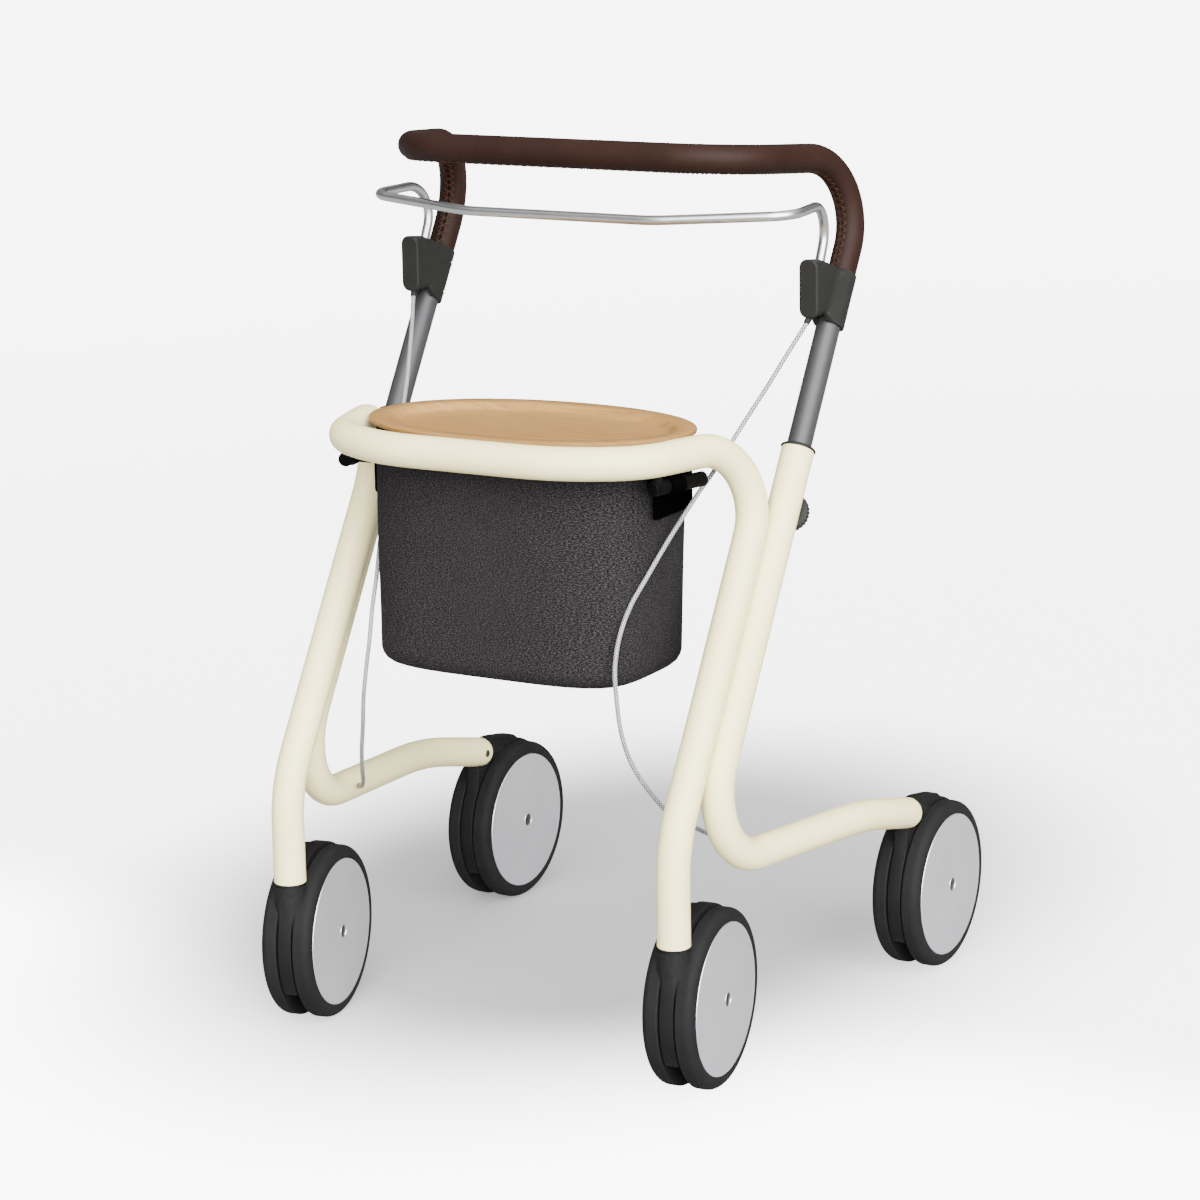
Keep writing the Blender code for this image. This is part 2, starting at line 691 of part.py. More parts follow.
def make_housing(side):
    """A moulding drawn between the lug in front and the sleeve round the stem."""
    name = "brake_housing_" + SIDES[side]
    points = []
    front = stem_line((LUG_LOW_Z + LUG_HIGH_Z) / 2) - LUG_AHEAD
    for y, inset in ((front, LUG_EDGE), (front + LUG_EDGE, 0.0), (front + LUG_DEPTH, 0.0)):
        points += [Vector(((LUG_X + x) * side, y, z)) for x, z in lug_outline(inset)]
    for z in (HOUSING_LOW_Z, HOUSING_HIGH_Z):
        place = along(STEM_DIR, stem_point(z, side))
        for k in range(SEAT_SIDES):
            angle = 2 * math.pi * k / SEAT_SIDES
            rim = Vector((math.cos(angle), math.sin(angle), 0)) * HOUSING_D / 2
            points.append(place @ rim)
    bm = bmesh.new()
    verts = [bm.verts.new(p) for p in points]
    hull = bmesh.ops.convex_hull(bm, input=verts)
    spare = [v for v in hull["geom_interior"] if isinstance(v, bmesh.types.BMVert)]
    bmesh.ops.delete(bm, geom=spare, context="VERTS")
    bmesh.ops.dissolve_limit(bm, angle_limit=math.radians(1), verts=bm.verts, edges=bm.edges)
    bmesh.ops.recalc_face_normals(bm, faces=bm.faces)
    data = bpy.data.meshes.new(name)
    bm.to_mesh(data)
    bm.free()
    housing = add_object(name, data, OLIVE)
    shade(housing)

    bore = bore_radius(STEM_R, SEAT_SIDES, FIT)
    stem_hole = cylinder("stem_hole_" + name, bore, 2.5 * HOUSING_H, SEAT_SIDES)
    stem_hole.matrix_world = along(STEM_DIR, stem_point(HOUSING_LOW_Z + HOUSING_H / 2, side))
    difference(housing, stem_hole)
    seat_end = stem_point(LEATHER_END_Z - FIT, side)
    bore = bore_radius(LEATHER_D / 2, SEAT_SIDES, FIT / 2)
    seat = cylinder("leather_seat_" + name, bore, HOUSING_H, SEAT_SIDES)
    seat.matrix_world = along(STEM_DIR, seat_end + STEM_DIR * HOUSING_H / 2)
    difference(housing, seat)

    slider_mid = riser_point(BRAKE_END_Z, side) - BRAKE_DIR * (FIT + SLIDER_H / 2)
    rise = SLIDER_H / 2 + CAVITY_UP
    fall = SLIDER_H / 2 + CAVITY_DOWN
    cavity = box("cavity_" + name, (CAVITY_W, CAVITY_W, rise + fall))
    cavity.matrix_world = along(BRAKE_DIR, slider_mid + BRAKE_DIR * (rise - fall) / 2)
    difference(housing, cavity)
    rod_hole = cylinder("rod_hole_" + name, BRAKE_D / 2 + FIT, ROD_HOLE_L)
    rod_hole.matrix_world = along(BRAKE_DIR, riser_point(LUG_HIGH_Z, side))
    difference(housing, rod_hole)
    difference(housing, exit_bore("cable_exit_" + name, side))
    for level in SCREW_LEVELS:
        hole = cylinder("screw_hole_%d_%s" % (level * 1000, name), SCREW_SHANK_D / 2 + FIT,
                        2 * (SCREW_DEPTH + SCREW_ROOM))
        hole.matrix_world = housing_screw_place(level, side)
        difference(housing, hole)


def inner_back(turn, side):
    """A direction square to the stem, turned from straight back towards the inner side."""
    inner = Vector((-side, 0, 0))
    return STEM_BACK * math.cos(turn) + inner * math.sin(turn)


def housing_screw_place(level, side):
    out = inner_back(SCREW_TURN, side)
    return along(out, stem_point(level, side) + out * HOUSING_D / 2)


def make_housing_screws(side):
    head = SCREW_HEAD_D / 2
    shank = SCREW_SHANK_D / 2
    top = SCREW_HEAD_H
    profile = [(0, top), (head * 0.7, top), (head, top * 0.4), (head, FIT), (shank, FIT),
               (shank, -SCREW_DEPTH), (0, -SCREW_DEPTH)]
    for label, level in zip(("upper", "lower"), SCREW_LEVELS):
        screw = turned("housing_screw_%s_%s" % (SIDES[side], label), profile, 8, SATIN)
        screw.matrix_world = housing_screw_place(level, side)


def smooth_route(points, step):
    """Points about a step apart on a smooth curve through the route's points."""
    route = []
    ends = [points[0] * 2 - points[1]] + points + [points[-1] * 2 - points[-2]]
    for a, b, c, d in zip(ends, ends[1:], ends[2:], ends[3:]):
        count = max(1, round((c - b).length / step))
        for k in range(count):
            t = k / count
            route.append(0.5 * (2 * b + (c - a) * t + (2 * a - 5 * b + 4 * c - d) * t ** 2
                                + (3 * b - a - 3 * c + d) * t ** 3))
    route.append(points[-1])
    return route


def cable_points(side):
    return [at_side(p, side) for p in CABLE_ROUTE]


def make_cable(side):
    path = smooth_route(cable_points(side), CABLE_STEP)
    cable = tube_curve("brake_cable_" + SIDES[side], path, CABLE_D / 2, SATIN, THIN_SIDES)
    shade(as_mesh(cable))
    return sum((b - a).length for a, b in zip(path, path[1:]))


def exit_bore(name, side):
    """The channel by which the cable leaves the housing."""
    points = cable_points(side)
    down = (points[1] - points[0]).normalized()
    bore = cylinder(name, CABLE_HOLE_D / 2, EXIT_L)
    bore.matrix_world = along(down, points[0] + down * EXIT_AHEAD)
    return bore


def cable_bore(name, side):
    points = cable_points(side)
    into = (points[CABLE_HOLE_AT + 1] - points[CABLE_HOLE_AT - 1]).normalized()
    bore = cylinder(name, CABLE_HOLE_D / 2, CABLE_BORE_L)
    bore.matrix_world = along(into, points[CABLE_HOLE_AT])
    return bore


def knob_direction(side):
    return inner_back(KNOB_TURN, side)


def make_knob(side):
    """A toothed hand wheel with its threaded stud, as rings about local Z."""
    count = 2 * KNOB_TEETH
    foot = TUBE_R + KNOB_CLEAR
    stud = STUD_D / 2
    radius = KNOB_D / 2
    rows = (
        (stud, STEM_R + FIT, 0.0),
        (stud, foot, 0.0),
        (radius * 0.6, foot, 0.0),
        (radius, foot + KNOB_TAPER, KNOB_TOOTH),
        (radius, foot + KNOB_H - KNOB_TAPER, KNOB_TOOTH),
        (radius - KNOB_CROWN, foot + KNOB_H, 0.0),
    )
    rings = []
    for ring_r, height, tooth in rows:
        ring = []
        for k in range(count):
            angle = 2 * math.pi * k / count
            r = ring_r - tooth * (k % 2)
            ring.append(Vector((r * math.cos(angle), r * math.sin(angle), height)))
        rings.append(ring)
    knob = loft("clamp_knob_" + SIDES[side], rings, OLIVE)
    knob.matrix_world = along(knob_direction(side), stem_point(KNOB_Z, side))


def wheel_profile(drum):
    """(radius, distance from the unit's middle) round half of a twin wheel's section."""
    r = WHEEL_R
    face = UNIT_W / 2
    seat = face - DISC_SEAT
    out_mid = SHOULDER_OUT * (1 - math.sqrt(0.5))
    bore = bore_radius(AXLE_D / 2, WHEEL_STEPS)
    disc = DISC_D / 2 + FIT
    profile = [
        (disc, face), (r - SHOULDER_OUT, face), (r - out_mid, face - out_mid),
        (r, face - SHOULDER_OUT), (r, HALF_GAP + SHOULDER_IN), (r - SHOULDER_IN, HALF_GAP),
    ]
    if drum:
        floor = HALF_GAP + DRUM_DEPTH
        drum_r = bore_radius(DRUM_D / 2, WHEEL_STEPS, 0)
        profile += [(drum_r, HALF_GAP), (drum_r, floor), (HUB_D / 2, floor),
                    (HUB_D / 2, HALF_GAP)]
    profile += [(bore, HALF_GAP), (bore, seat), (disc, seat)]
    return profile


def disc_profile():
    """The domed cover, from its crown round the rim to the middle of its back."""
    low = UNIT_W / 2 - DISC_SEAT + FIT
    edge = low + DISC_T
    rim = DISC_D / 2
    return [(0, edge + DISC_DOME), (rim * 0.55, edge + DISC_DOME * 0.7), (rim, edge), (rim, low),
            (0, low)]


def axle_profile():
    tip = UNIT_W / 2 - DISC_SEAT
    r = AXLE_D / 2
    upper = [(0, tip), (r - EDGE, tip), (r, tip - EDGE)]
    return upper + [(radius, -height) for radius, height in reversed(upper)]


def in_unit(obj, unit, flip=False):
    """Seats a piece that is turned about local Z on the axle of its unit."""
    turn = Matrix.Rotation(math.pi / 2 if not flip else -math.pi / 2, 4, "Y")
    obj.parent = unit
    obj.matrix_parent_inverse = Matrix.Identity(4)
    obj.matrix_local = turn


def new_empty(name, place):
    empty = bpy.data.objects.new(name, None)
    PARTS.objects.link(empty)
    empty.empty_display_size = 0.05
    empty.matrix_world = place
    return empty


def make_wheels(unit, side, end, drum):
    """Both wheels with their discs, and the axle, on a unit's empty at the axle's middle."""
    for label, out in (("outer", side), ("inner", -side)):
        suffix = "%s_%s_%s" % (end, SIDES[side], label)
        wheel = turned("wheel_" + suffix, wheel_profile(drum), WHEEL_STEPS, TYRE, closed=True)
        in_unit(wheel, unit, flip=out < 0)
        disc = turned("wheel_disc_" + suffix, disc_profile(), WHEEL_STEPS, DISC)
        in_unit(disc, unit, flip=out < 0)
    axle = turned("axle_%s_%s" % (end, SIDES[side]), axle_profile(), 12, SATIN)
    in_unit(axle, unit)


def band_radius(angle):
    """The mudguard's radius; it humps up over the wheels' top."""
    spread = math.radians(40)
    return BAND_R + BAND_HUMP * math.exp(-((angle - math.radians(80)) / spread) ** 2)


def hub_arc(start, end, count):
    """Points (forward, up) round the axle boss between two angles from the front."""
    points = []
    for k in range(count + 1):
        angle = start + (end - start) * k / count
        points.append((HUB_BOSS_R * math.cos(angle), HUB_BOSS_R * math.sin(angle)))
    return points


def fan_outline(lug=None):
    """The mudguard plate round the axle: (forward, up) from the axle's centre."""
    points = []
    count = 12
    for k in range(count + 1):
        angle = BAND_LOW + (BAND_BACK - BAND_LOW) * k / count
        r = band_radius(angle)
        points.append((r * math.cos(angle), r * math.sin(angle)))
    if lug:
        low = max(k for k, p in enumerate(points) if p[0] > lug[0][0])
        high = min(k for k, p in enumerate(points) if p[0] < lug[-1][0] - BAND_STEP)
        points = points[:low + 1] + lug + points[high:]
    return points + hub_arc(math.radians(200), math.radians(290), 4)


def axle_hole(name, unit):
    hole = cylinder(name, bore_radius(AXLE_D / 2, ROUND_STEPS), UNIT_W)
    in_unit(hole, unit)
    return hole


def wheel_room(name, unit, side):
    """The space that one turning wheel needs, for trimming the neck beside it."""
    r = WHEEL_R + WHEEL_CLEAR
    gap = HALF_GAP - WHEEL_CLEAR
    far = UNIT_W
    profile = [(0, far), (r, far), (r, gap + SHOULDER_IN), (r - SHOULDER_IN, gap), (0, gap)]
    room = turned(name, profile, 32, None)
    in_unit(room, unit, flip=side < 0)
    return room


def make_caster(side):
    label = "front_" + SIDES[side]
    swivel = new_empty("swivel_" + label, Matrix.Translation((LEG_X * side, LEG_Y, 0))
                       @ Matrix.Rotation(CASTER_TURN[side], 4, "Z"))
    unit = new_empty("unit_" + label, Matrix.Identity(4))
    unit.parent = swivel
    unit.matrix_parent_inverse = Matrix.Identity(4)
    unit.location = (0, TRAIL, WHEEL_R)
    bpy.context.view_layer.update()
    make_wheels(unit, side, "front", drum=False)

    body = slab("caster_body_" + SIDES[side], fan_outline(), PLATE_T, OLIVE)
    body.parent = unit
    body.matrix_parent_inverse = Matrix.Identity(4)
    neck = cylinder("neck_" + label, NECK_D / 2, NECK_TOP_Z - NECK_LOW_Z, NECK_SIDES)
    neck_mid = (NECK_TOP_Z + NECK_LOW_Z) / 2
    neck.matrix_world = swivel.matrix_world @ Matrix.Translation((0, 0, neck_mid))
    for out in (1, -1):
        difference(neck, wheel_room("wheel_room_%s_%d" % (label, out + 1), unit, out))
    union(body, neck)
    leg_room = cylinder("leg_room_" + label, TUBE_R + LEG_ROOM, TUBE_D, NECK_SIDES)
    leg_room.matrix_world = swivel.matrix_world @ Matrix.Translation((0, 0, NECK_TOP_Z + TUBE_R))
    difference(body, leg_room)
    difference(body, axle_hole("axle_hole_" + label, unit))
    socket_h = NECK_TOP_Z - CASTER_STEM_LOW_Z + CASTER_STEM_D
    socket = cylinder("stem_socket_" + label, CASTER_STEM_D / 2 + FIT, socket_h)
    socket_mid = CASTER_STEM_LOW_Z - FIT + socket_h / 2
    socket.matrix_world = swivel.matrix_world @ Matrix.Translation((0, 0, socket_mid))
    difference(body, socket)

    length = CASTER_STEM_HIGH_Z - CASTER_STEM_LOW_Z
    r = CASTER_STEM_D / 2
    profile = [(0, length), (r - EDGE, length), (r, length - EDGE), (r, 0), (0, 0)]
    stem = turned("caster_stem_" + SIDES[side], profile, ROUND_STEPS, SATIN)
    stem.matrix_world = swivel.matrix_world @ Matrix.Translation((0, 0, CASTER_STEM_LOW_Z))

    outer = BORE_R - FIT
    inner = bore_radius(r, ROUND_STEPS)
    bush_profile = [(outer, BUSH_H), (outer, 0), (inner, 0), (inner, BUSH_H)]
    bush = turned("stem_bush_" + SIDES[side], bush_profile, ROUND_STEPS, BLACK, closed=True)
    bush.matrix_world = Matrix.Translation((LEG_X * side, LEG_Y, LEG_END_Z + FIT))


def carrier_lug():
    """The lug's outline over the rear wheels, (forward, up) from the axle."""
    tail_forward = REAR_AXLE_Y - TAIL[1]
    tail_up = TAIL[2] - WHEEL_R
    return [(tail_forward + forward, tail_up + up) for forward, up in LUG_OUTLINE]


def make_rear_unit(side):
    label = "rear_" + SIDES[side]
    unit = new_empty("unit_" + label, Matrix.Translation((REAR_WHEEL_X * side, REAR_AXLE_Y, WHEEL_R)))
    bpy.context.view_layer.update()
    make_wheels(unit, side, "rear", drum=True)
    body = slab("rear_carrier_" + SIDES[side], fan_outline(carrier_lug()), PLATE_T, OLIVE)
    body.parent = unit
    body.matrix_parent_inverse = Matrix.Identity(4)

    run = tail_direction(side)
    centre = at_side(TAIL, side)
    seat_r = bore_radius(TUBE_R, SEAT_SIDES, FIT)
    path = [centre - run * 4 * TUBE_R, centre]
    factors = [1.0, 1.0]
    add_dome(path, factors, run * seat_r)
    seat = as_mesh(tube_curve("tail_seat_" + label, path, seat_r, None, SEAT_SIDES, factors=factors))
    difference(body, seat)
    tongue_w = SLOT_W - 2 * FIT
    tongue = box("tongue_" + label, (tongue_w, TONGUE_LENGTH, SLOT_H - 2 * FIT))
    tongue.matrix_world = (along(run, centre + run * (TONGUE_BACK - TONGUE_LENGTH / 2))
                           @ Matrix.Rotation(math.pi / 2, 4, "X"))
    union(body, tongue)
    difference(body, axle_hole("axle_hole_" + label, unit))
    hole = cylinder("tongue_hole_" + label, TAIL_SCREW_D / 2 + FIT, 2 * (TUBE_R + SLOT_W))
    hole.matrix_world = along(Vector((-side, 0, 0)), tail_screw_place(side))
    difference(body, hole)

    shoe_top = DRUM_D / 2 - SHOE_GAP
    window_h = SHOE_H + SHOE_WINDOW + SHOE_GAP
    window = box("shoe_window_" + label, (2 * PLATE_T, SHOE_L + 2 * FIT, window_h))
    window.parent = unit
    window.matrix_parent_inverse = Matrix.Identity(4)
    window.location = (0, 0, shoe_top - SHOE_H - SHOE_WINDOW + window_h / 2)
    difference(body, window)
    shoe = box("brake_shoe_" + SIDES[side], (SHOE_SPAN, SHOE_L, SHOE_H), BLACK)
    shoe.parent = unit
    shoe.matrix_parent_inverse = Matrix.Identity(4)
    shoe.location = (0, 0, shoe_top - SHOE_H / 2)


def bag_ring(t, inset, z):
    """An outline of the bag, t = 0 at the bottom and 1 at the top."""
    width = BAG_LOW_W + (BAG_TOP_W - BAG_LOW_W) * t - 2 * inset
    front = BAG_LOW_Y[0] + (BAG_TOP_Y[0] - BAG_LOW_Y[0]) * t + inset
    back = BAG_LOW_Y[1] + (BAG_TOP_Y[1] - BAG_LOW_Y[1]) * t - inset
    square = BAG_LOW_SQUARE + (BAG_TOP_SQUARE - BAG_LOW_SQUARE) * t
    return oval(width, front, back, square, z)


def make_bag():
    """An open bag: up the outside, over the rim, down the inside."""
    hem = BAG_HEM
    rings = [
        bag_ring(0.0, hem, BAG_LOW_Z),
        bag_ring(0.0, hem * 0.3, BAG_LOW_Z + hem * 0.3),
        bag_ring(0.0, 0.0, BAG_LOW_Z + hem),
        bag_ring(BAG_WAIST, 0.0, WAIST_Z),
        bag_ring(1.0, 0.0, BAG_TOP_Z),
        bag_ring(1.0, BAG_WALL, BAG_TOP_Z),
        bag_ring(BAG_WAIST, BAG_WALL, WAIST_Z),
        bag_ring(0.0, BAG_WALL, BAG_LOW_Z + hem),
        bag_ring(0.0, hem, BAG_LOW_Z + BAG_WALL),
    ]
    loft("bag", rings, FELT)


def rail_direction(side):
    back = Vector((LEG_X, leg_line(BAR_Z), 0))
    front = Vector((*SIDE_FRONT, 0))
    run = (back - front).normalized()
    return Vector((run.x * side, run.y, 0))


def rail_end(side):
    """The free rear end of the rail, below the middle of the frame's side run."""
    share = 1 - RAIL_AHEAD / (leg_line(BAR_Z) - SIDE_FRONT[1])
    x = SIDE_FRONT[0] + (LEG_X - SIDE_FRONT[0]) * share
    y = leg_line(BAR_Z) - RAIL_AHEAD
    return Vector((x * side, y, BAR_Z - TUBE_R - RAIL_DROP - RAIL_D / 2))


def make_rail(side):
    """A rod below the frame's side run, carried by a post at its front end."""
    r = RAIL_D / 2
    profile = [(0, 0), (r - RAIL_EDGE, 0), (r, -RAIL_EDGE), (r, -RAIL_L), (0, -RAIL_L)]
    rail = turned("bag_rail_" + SIDES[side], profile, ROUND_STEPS, BLACK)
    rail.matrix_world = along(rail_direction(side), rail_end(side))
    post_h = r + RAIL_DROP - FIT
    post = cylinder("post_" + SIDES[side], r * 0.75, post_h)
    foot = rail_end(side) - rail_direction(side) * (RAIL_L - r)
    post.matrix_world = Matrix.Translation(foot + Vector((0, 0, post_h / 2)))
    union(rail, post)


def bag_side_x(z):
    """Half the bag's width at a height above its waist."""
    waist_x = max(p.x for p in bag_ring(BAG_WAIST, 0.0, z))
    top_x = max(p.x for p in bag_ring(1.0, 0.0, z))
    return waist_x + (top_x - waist_x) * (z - WAIST_Z) / (BAG_TOP_Z - WAIST_Z)


def make_hanger(side):
    """The plate on the bag's side, with a sleeve that slides over the rail."""
    name = "bag_hanger_" + SIDES[side]
    run = rail_direction(side)
    at = rail_end(side) - run * (SLEEVE_AHEAD + SLEEVE_L / 2)
    z_low, z_high = HANGER_Z
    x = max(bag_side_x(z_low), bag_side_x(z_high)) + FIT + HANGER_T / 2
    plate = box(name, (HANGER_T, HANGER_L, z_high - z_low), BLACK)
    plate.location = (x * side, at.y + HANGER_BACK + HANGER_L / 2, (z_low + z_high) / 2)
    bevel = plate.modifiers.new("corners", "BEVEL")
    bevel.width = HANGER_EDGE
    bevel.segments = 1
    outer = RAIL_D / 2 + SLEEVE_T
    arm = box("arm_" + name, (abs(at.x) - x, ARM_L, ARM_H))
    arm.location = (side * (abs(at.x) + x) / 2, at.y, at.z)
    union(plate, arm)
    sleeve = cylinder("sleeve_" + name, outer, SLEEVE_L)
    sleeve.matrix_world = along(run, at)
    union(plate, sleeve)
    bore = cylinder("bore_" + name, bore_radius(RAIL_D / 2, ROUND_STEPS, FIT), SLEEVE_L * 2)
    bore.matrix_world = along(run, at)
    difference(plate, bore)


def tray_ring(inset, z):
    front, back = TRAY_Y
    return oval(TRAY_W - 2 * inset, front + inset, back - inset, TRAY_SQUARE, z)


def make_tray():
    """A pressed tray: flat rim, sloping wall, flat floor."""
    top = TRAY_Z + TRAY_T
    wall = TRAY_RIM + TRAY_SLOPE
    rings = [
        tray_ring(wall, TRAY_Z - TRAY_DEPTH + TRAY_T * 0.4),
        tray_ring(TRAY_RIM - EDGE, TRAY_Z),
        tray_ring(0.0, TRAY_Z),
        tray_ring(0.0, top - EDGE),
        tray_ring(EDGE, top),
        tray_ring(TRAY_RIM, top),
        tray_ring(wall, top - TRAY_DEPTH),
    ]
    loft("tray", rings, WOOD)


def origin_shift():
    """Brings the middle of the length, with the casters turned as they stand, to y = 0."""
    turn = max(CASTER_TURN.values())
    front = LEG_Y + (TRAIL - WHEEL_R) * math.cos(turn) - (UNIT_W / 2 - SHOULDER_OUT) * math.sin(turn)
    back = REAR_AXLE_Y + WHEEL_R
    return -(front + back) / 2


def main():
    make_front_frame()
    make_handlebar()
    make_brake_bar()
    make_bag()
    make_tray()
    for side in SIDES:
        make_rear_tube(side)
        make_tail_screw(side)
        make_collar(side)
        make_slider(side)
        make_housing(side)
        make_housing_screws(side)
        length = make_cable(side)
        print("cable", SIDES[side], "length in metres", round(length, 4))
        make_knob(side)
        make_caster(side)
        make_rear_unit(side)
        make_rail(side)
        make_hanger(side)
    root = new_empty("rollator_origin", Matrix.Identity(4))
    bpy.context.view_layer.update()
    for obj in list(PARTS.objects) + list(CUTTERS.objects):
        if obj.parent is None and obj is not root:
            obj.parent = root
    root.location.y = origin_shift()
    print("shift in metres", round(origin_shift(), 5))


main()
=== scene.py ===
"""Looks of a four-wheel rollator: lacquered tubes, stitched leather, cloth bag, wooden tray.

Metres, +Z up, the front at -Y and the user's left at +X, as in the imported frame.
A profile is a list of (radius, height) points.
"""
import math

import bmesh
import bpy
from mathutils import Matrix, Vector, noise


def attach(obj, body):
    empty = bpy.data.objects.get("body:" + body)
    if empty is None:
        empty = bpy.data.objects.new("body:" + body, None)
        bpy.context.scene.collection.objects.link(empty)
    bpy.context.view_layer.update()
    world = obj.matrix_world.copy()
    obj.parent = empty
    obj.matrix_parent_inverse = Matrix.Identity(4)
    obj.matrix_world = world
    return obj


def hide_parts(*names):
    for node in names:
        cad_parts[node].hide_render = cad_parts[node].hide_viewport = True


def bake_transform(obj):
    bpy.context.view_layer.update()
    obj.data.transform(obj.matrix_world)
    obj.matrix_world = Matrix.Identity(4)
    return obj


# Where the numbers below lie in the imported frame
SHIFT = Vector((0.0, 0.0016, 0.0))
SIDES = {1: "left", -1: "right"}

# Frame tubes
TUBE_R, TUBE_WALL, TUBE_EDGE, TUBE_SIDES = 0.016, 0.002, 0.0008, 48
FINE_BEND = math.radians(4)
LEAN = 0.61
LEG_X, LEG_Y, LEG_END_Z = 0.2165, -0.2739, 0.158
LEG_BEND_Z, LEG_BEND_R = 0.256, 0.125
BAR_Z, CORNER_R = 0.6055, 0.059
SIDE_FRONT, SIDE_FRONT_R = (0.167, -0.231), 0.071
BAR_BEND, BAR_BEND_R = (0.1035, -0.2715), 0.166
REAR_STEP_X = 0.0134
REAR_TOP_Z = 0.589
FOOT_BEND_Z, FOOT_BEND_R = 0.2245, 0.068
RUN_BEND, RUN_BEND_R = (0.2595, 0.0425, 0.2053), 0.438
TAIL = (0.2585, 0.154, 0.177)
TUBE_PITCH = 0.0316
MOUTH_L, SINK_L, SINK_AT = 0.03, 0.003, -0.0004
DOME_STEPS, DOME_STEP = 12, math.radians(7.2)
LEG_RING_Z, RING_EDGE, RIM_EDGE = LEG_END_Z - 0.0010, 0.0004, 0.0006
LEG_RING = ((0.0095, 0.0), (0.0148, 0.0), (0.0148, 0.0018), (0.0095, 0.0018))
STEM_RIM = ((0.01245, 0.0034), (0.0152, 0.0034), (0.0173, 0.0018), (0.0173, 0.0002),
            (0.0139, 0.0002), (0.0139, -0.012), (0.01245, -0.012))

# A screw is (head radius, socket radius, rise, depth)
TAIL_SCREW, TAIL_SCREW_IN, TAIL_SINK_R = (0.0038, 0.0015, 0.0004, 0.0018), 0.006, 0.0042
HOUSING_SCREW, HOUSING_SINK_R = (0.0033, 0.0016, 0.0004, 0.0010), 0.0037
SCREW_EDGE, SOCKET_DIP, SOCKET_SHARE = 0.0003, 0.0002, 0.8

# Handle and brake
STEM_R, STEM_END_Z = 0.012, 0.430
HANDLE_BEND_Z, HANDLE_BEND_R = 0.854, 0.061
HANDLE_FRONT, HANDLE_FRONT_R = (0.1862, -0.0922, 0.8705), 0.079
LEATHER_R, LEATHER_END_Z = 0.014, 0.7425
SEAM_DEPTH, SEAM_TURN = 0.0012, math.radians(13)
SEAM_W, SEAM_SHADE_W, STRIP_W = 0.055, 0.07, 0.55        # radians
SEAM_LIP, SEAM_LIP_AT, SEAM_LIP_W = 0.0004, 0.17, 0.09
SEAM_ANGLES = (0.0, 0.025, 0.05, 0.08, 0.12, 0.17, 0.23, 0.30, 0.38, 0.47, 0.58, 0.72)
LEATHER_STEP = 0.003
STITCH_STEPS = 3          # path steps from one cross to the next
STITCH_REACH = 0.44       # radians from the seam to a stitch's end
THREAD_R, THREAD_SUNK, THREAD_LIFT = 0.00040, 0.0007, 0.00012
BRAKE_R, BRAKE_EDGE, BRAKE_LEAN = 0.0048, 0.0005, 0.465
BRAKE_X, BRAKE_Y, BRAKE_Z = 0.225, 0.0130, 0.745
BRAKE_END_Z, BRAKE_TOP_Z, BRAKE_TOP_R = 0.741, 0.819, 0.030
BRAKE_SIDE, BRAKE_SIDE_R = (0.2354, -0.0593, 0.8169), 0.028
BRAKE_FRONT, BRAKE_FRONT_R = (0.104, -0.0944, 0.8103), 0.110

# Brake housings; a lug station is (back, inset, drop of its top)
PLAY, SEAT_PLAY, SCREW_SUNK = 0.0006, 0.0005, 0.0002
HOUSING_R, HOUSING_LOW_Z, HOUSING_HIGH_Z, HOUSING_EDGE = 0.0153, 0.699, 0.747, 0.0005
LUG_X, LUG_W, LUG_CORNER = 0.2262, 0.020, 0.0085
LUG_FRONT_Y = -0.0070
LUG_STATIONS = ((0.0, 0.0013, 0.0), (0.0004, 0.0004, 0.0), (0.0013, 0.0, 0.0),
                (0.019, 0.0, 0.0020), (0.041, 0.0, 0.0094), (0.054, 0.0, 0.0130))
LUG_LOW_Z, LUG_HIGH_Z = 0.7118, 0.7687
CHEEK_REACH, CHEEK_LOW, CHEEK_HIGH = 0.0258, LUG_LOW_Z + 0.004, LUG_HIGH_Z - 0.020
HOLLOW_LOW, HOLLOW_HIGH, HOLLOW_REACH = LUG_LOW_Z + 0.002, LUG_HIGH_Z - 0.014, 0.008
HOLLOW_W, HOLLOW_ROUNDS, VOXEL = LUG_W * 0.42, 80, 0.0007
STEM_BORE_Z, STEM_BORE_L, GRIP_SEAT_L, BAR_BORE_L = 0.72, 0.12, 0.05, 0.012
UNDERCUT, UNDERCUT_YZ = (0.0125, 0.022, 0.020), (0.010, 0.706)
BRAKE_TRAVEL_R, BRAKE_TRAVEL_L, BRAKE_TRAVEL_LOW = 0.0060, 0.043, 0.0013
SCREW_LEVELS = {"upper": 0.737, "lower": 0.709}
SCREW_TURN, SCREW_SINK_L = math.radians(60), 0.0022
KNOB_Z, KNOB_TURN, KNOB_R, KNOB_H = 0.541, math.radians(12), 0.020, 0.0115
KNOB_TEETH, KNOB_NOTCH = 30, 0.0009

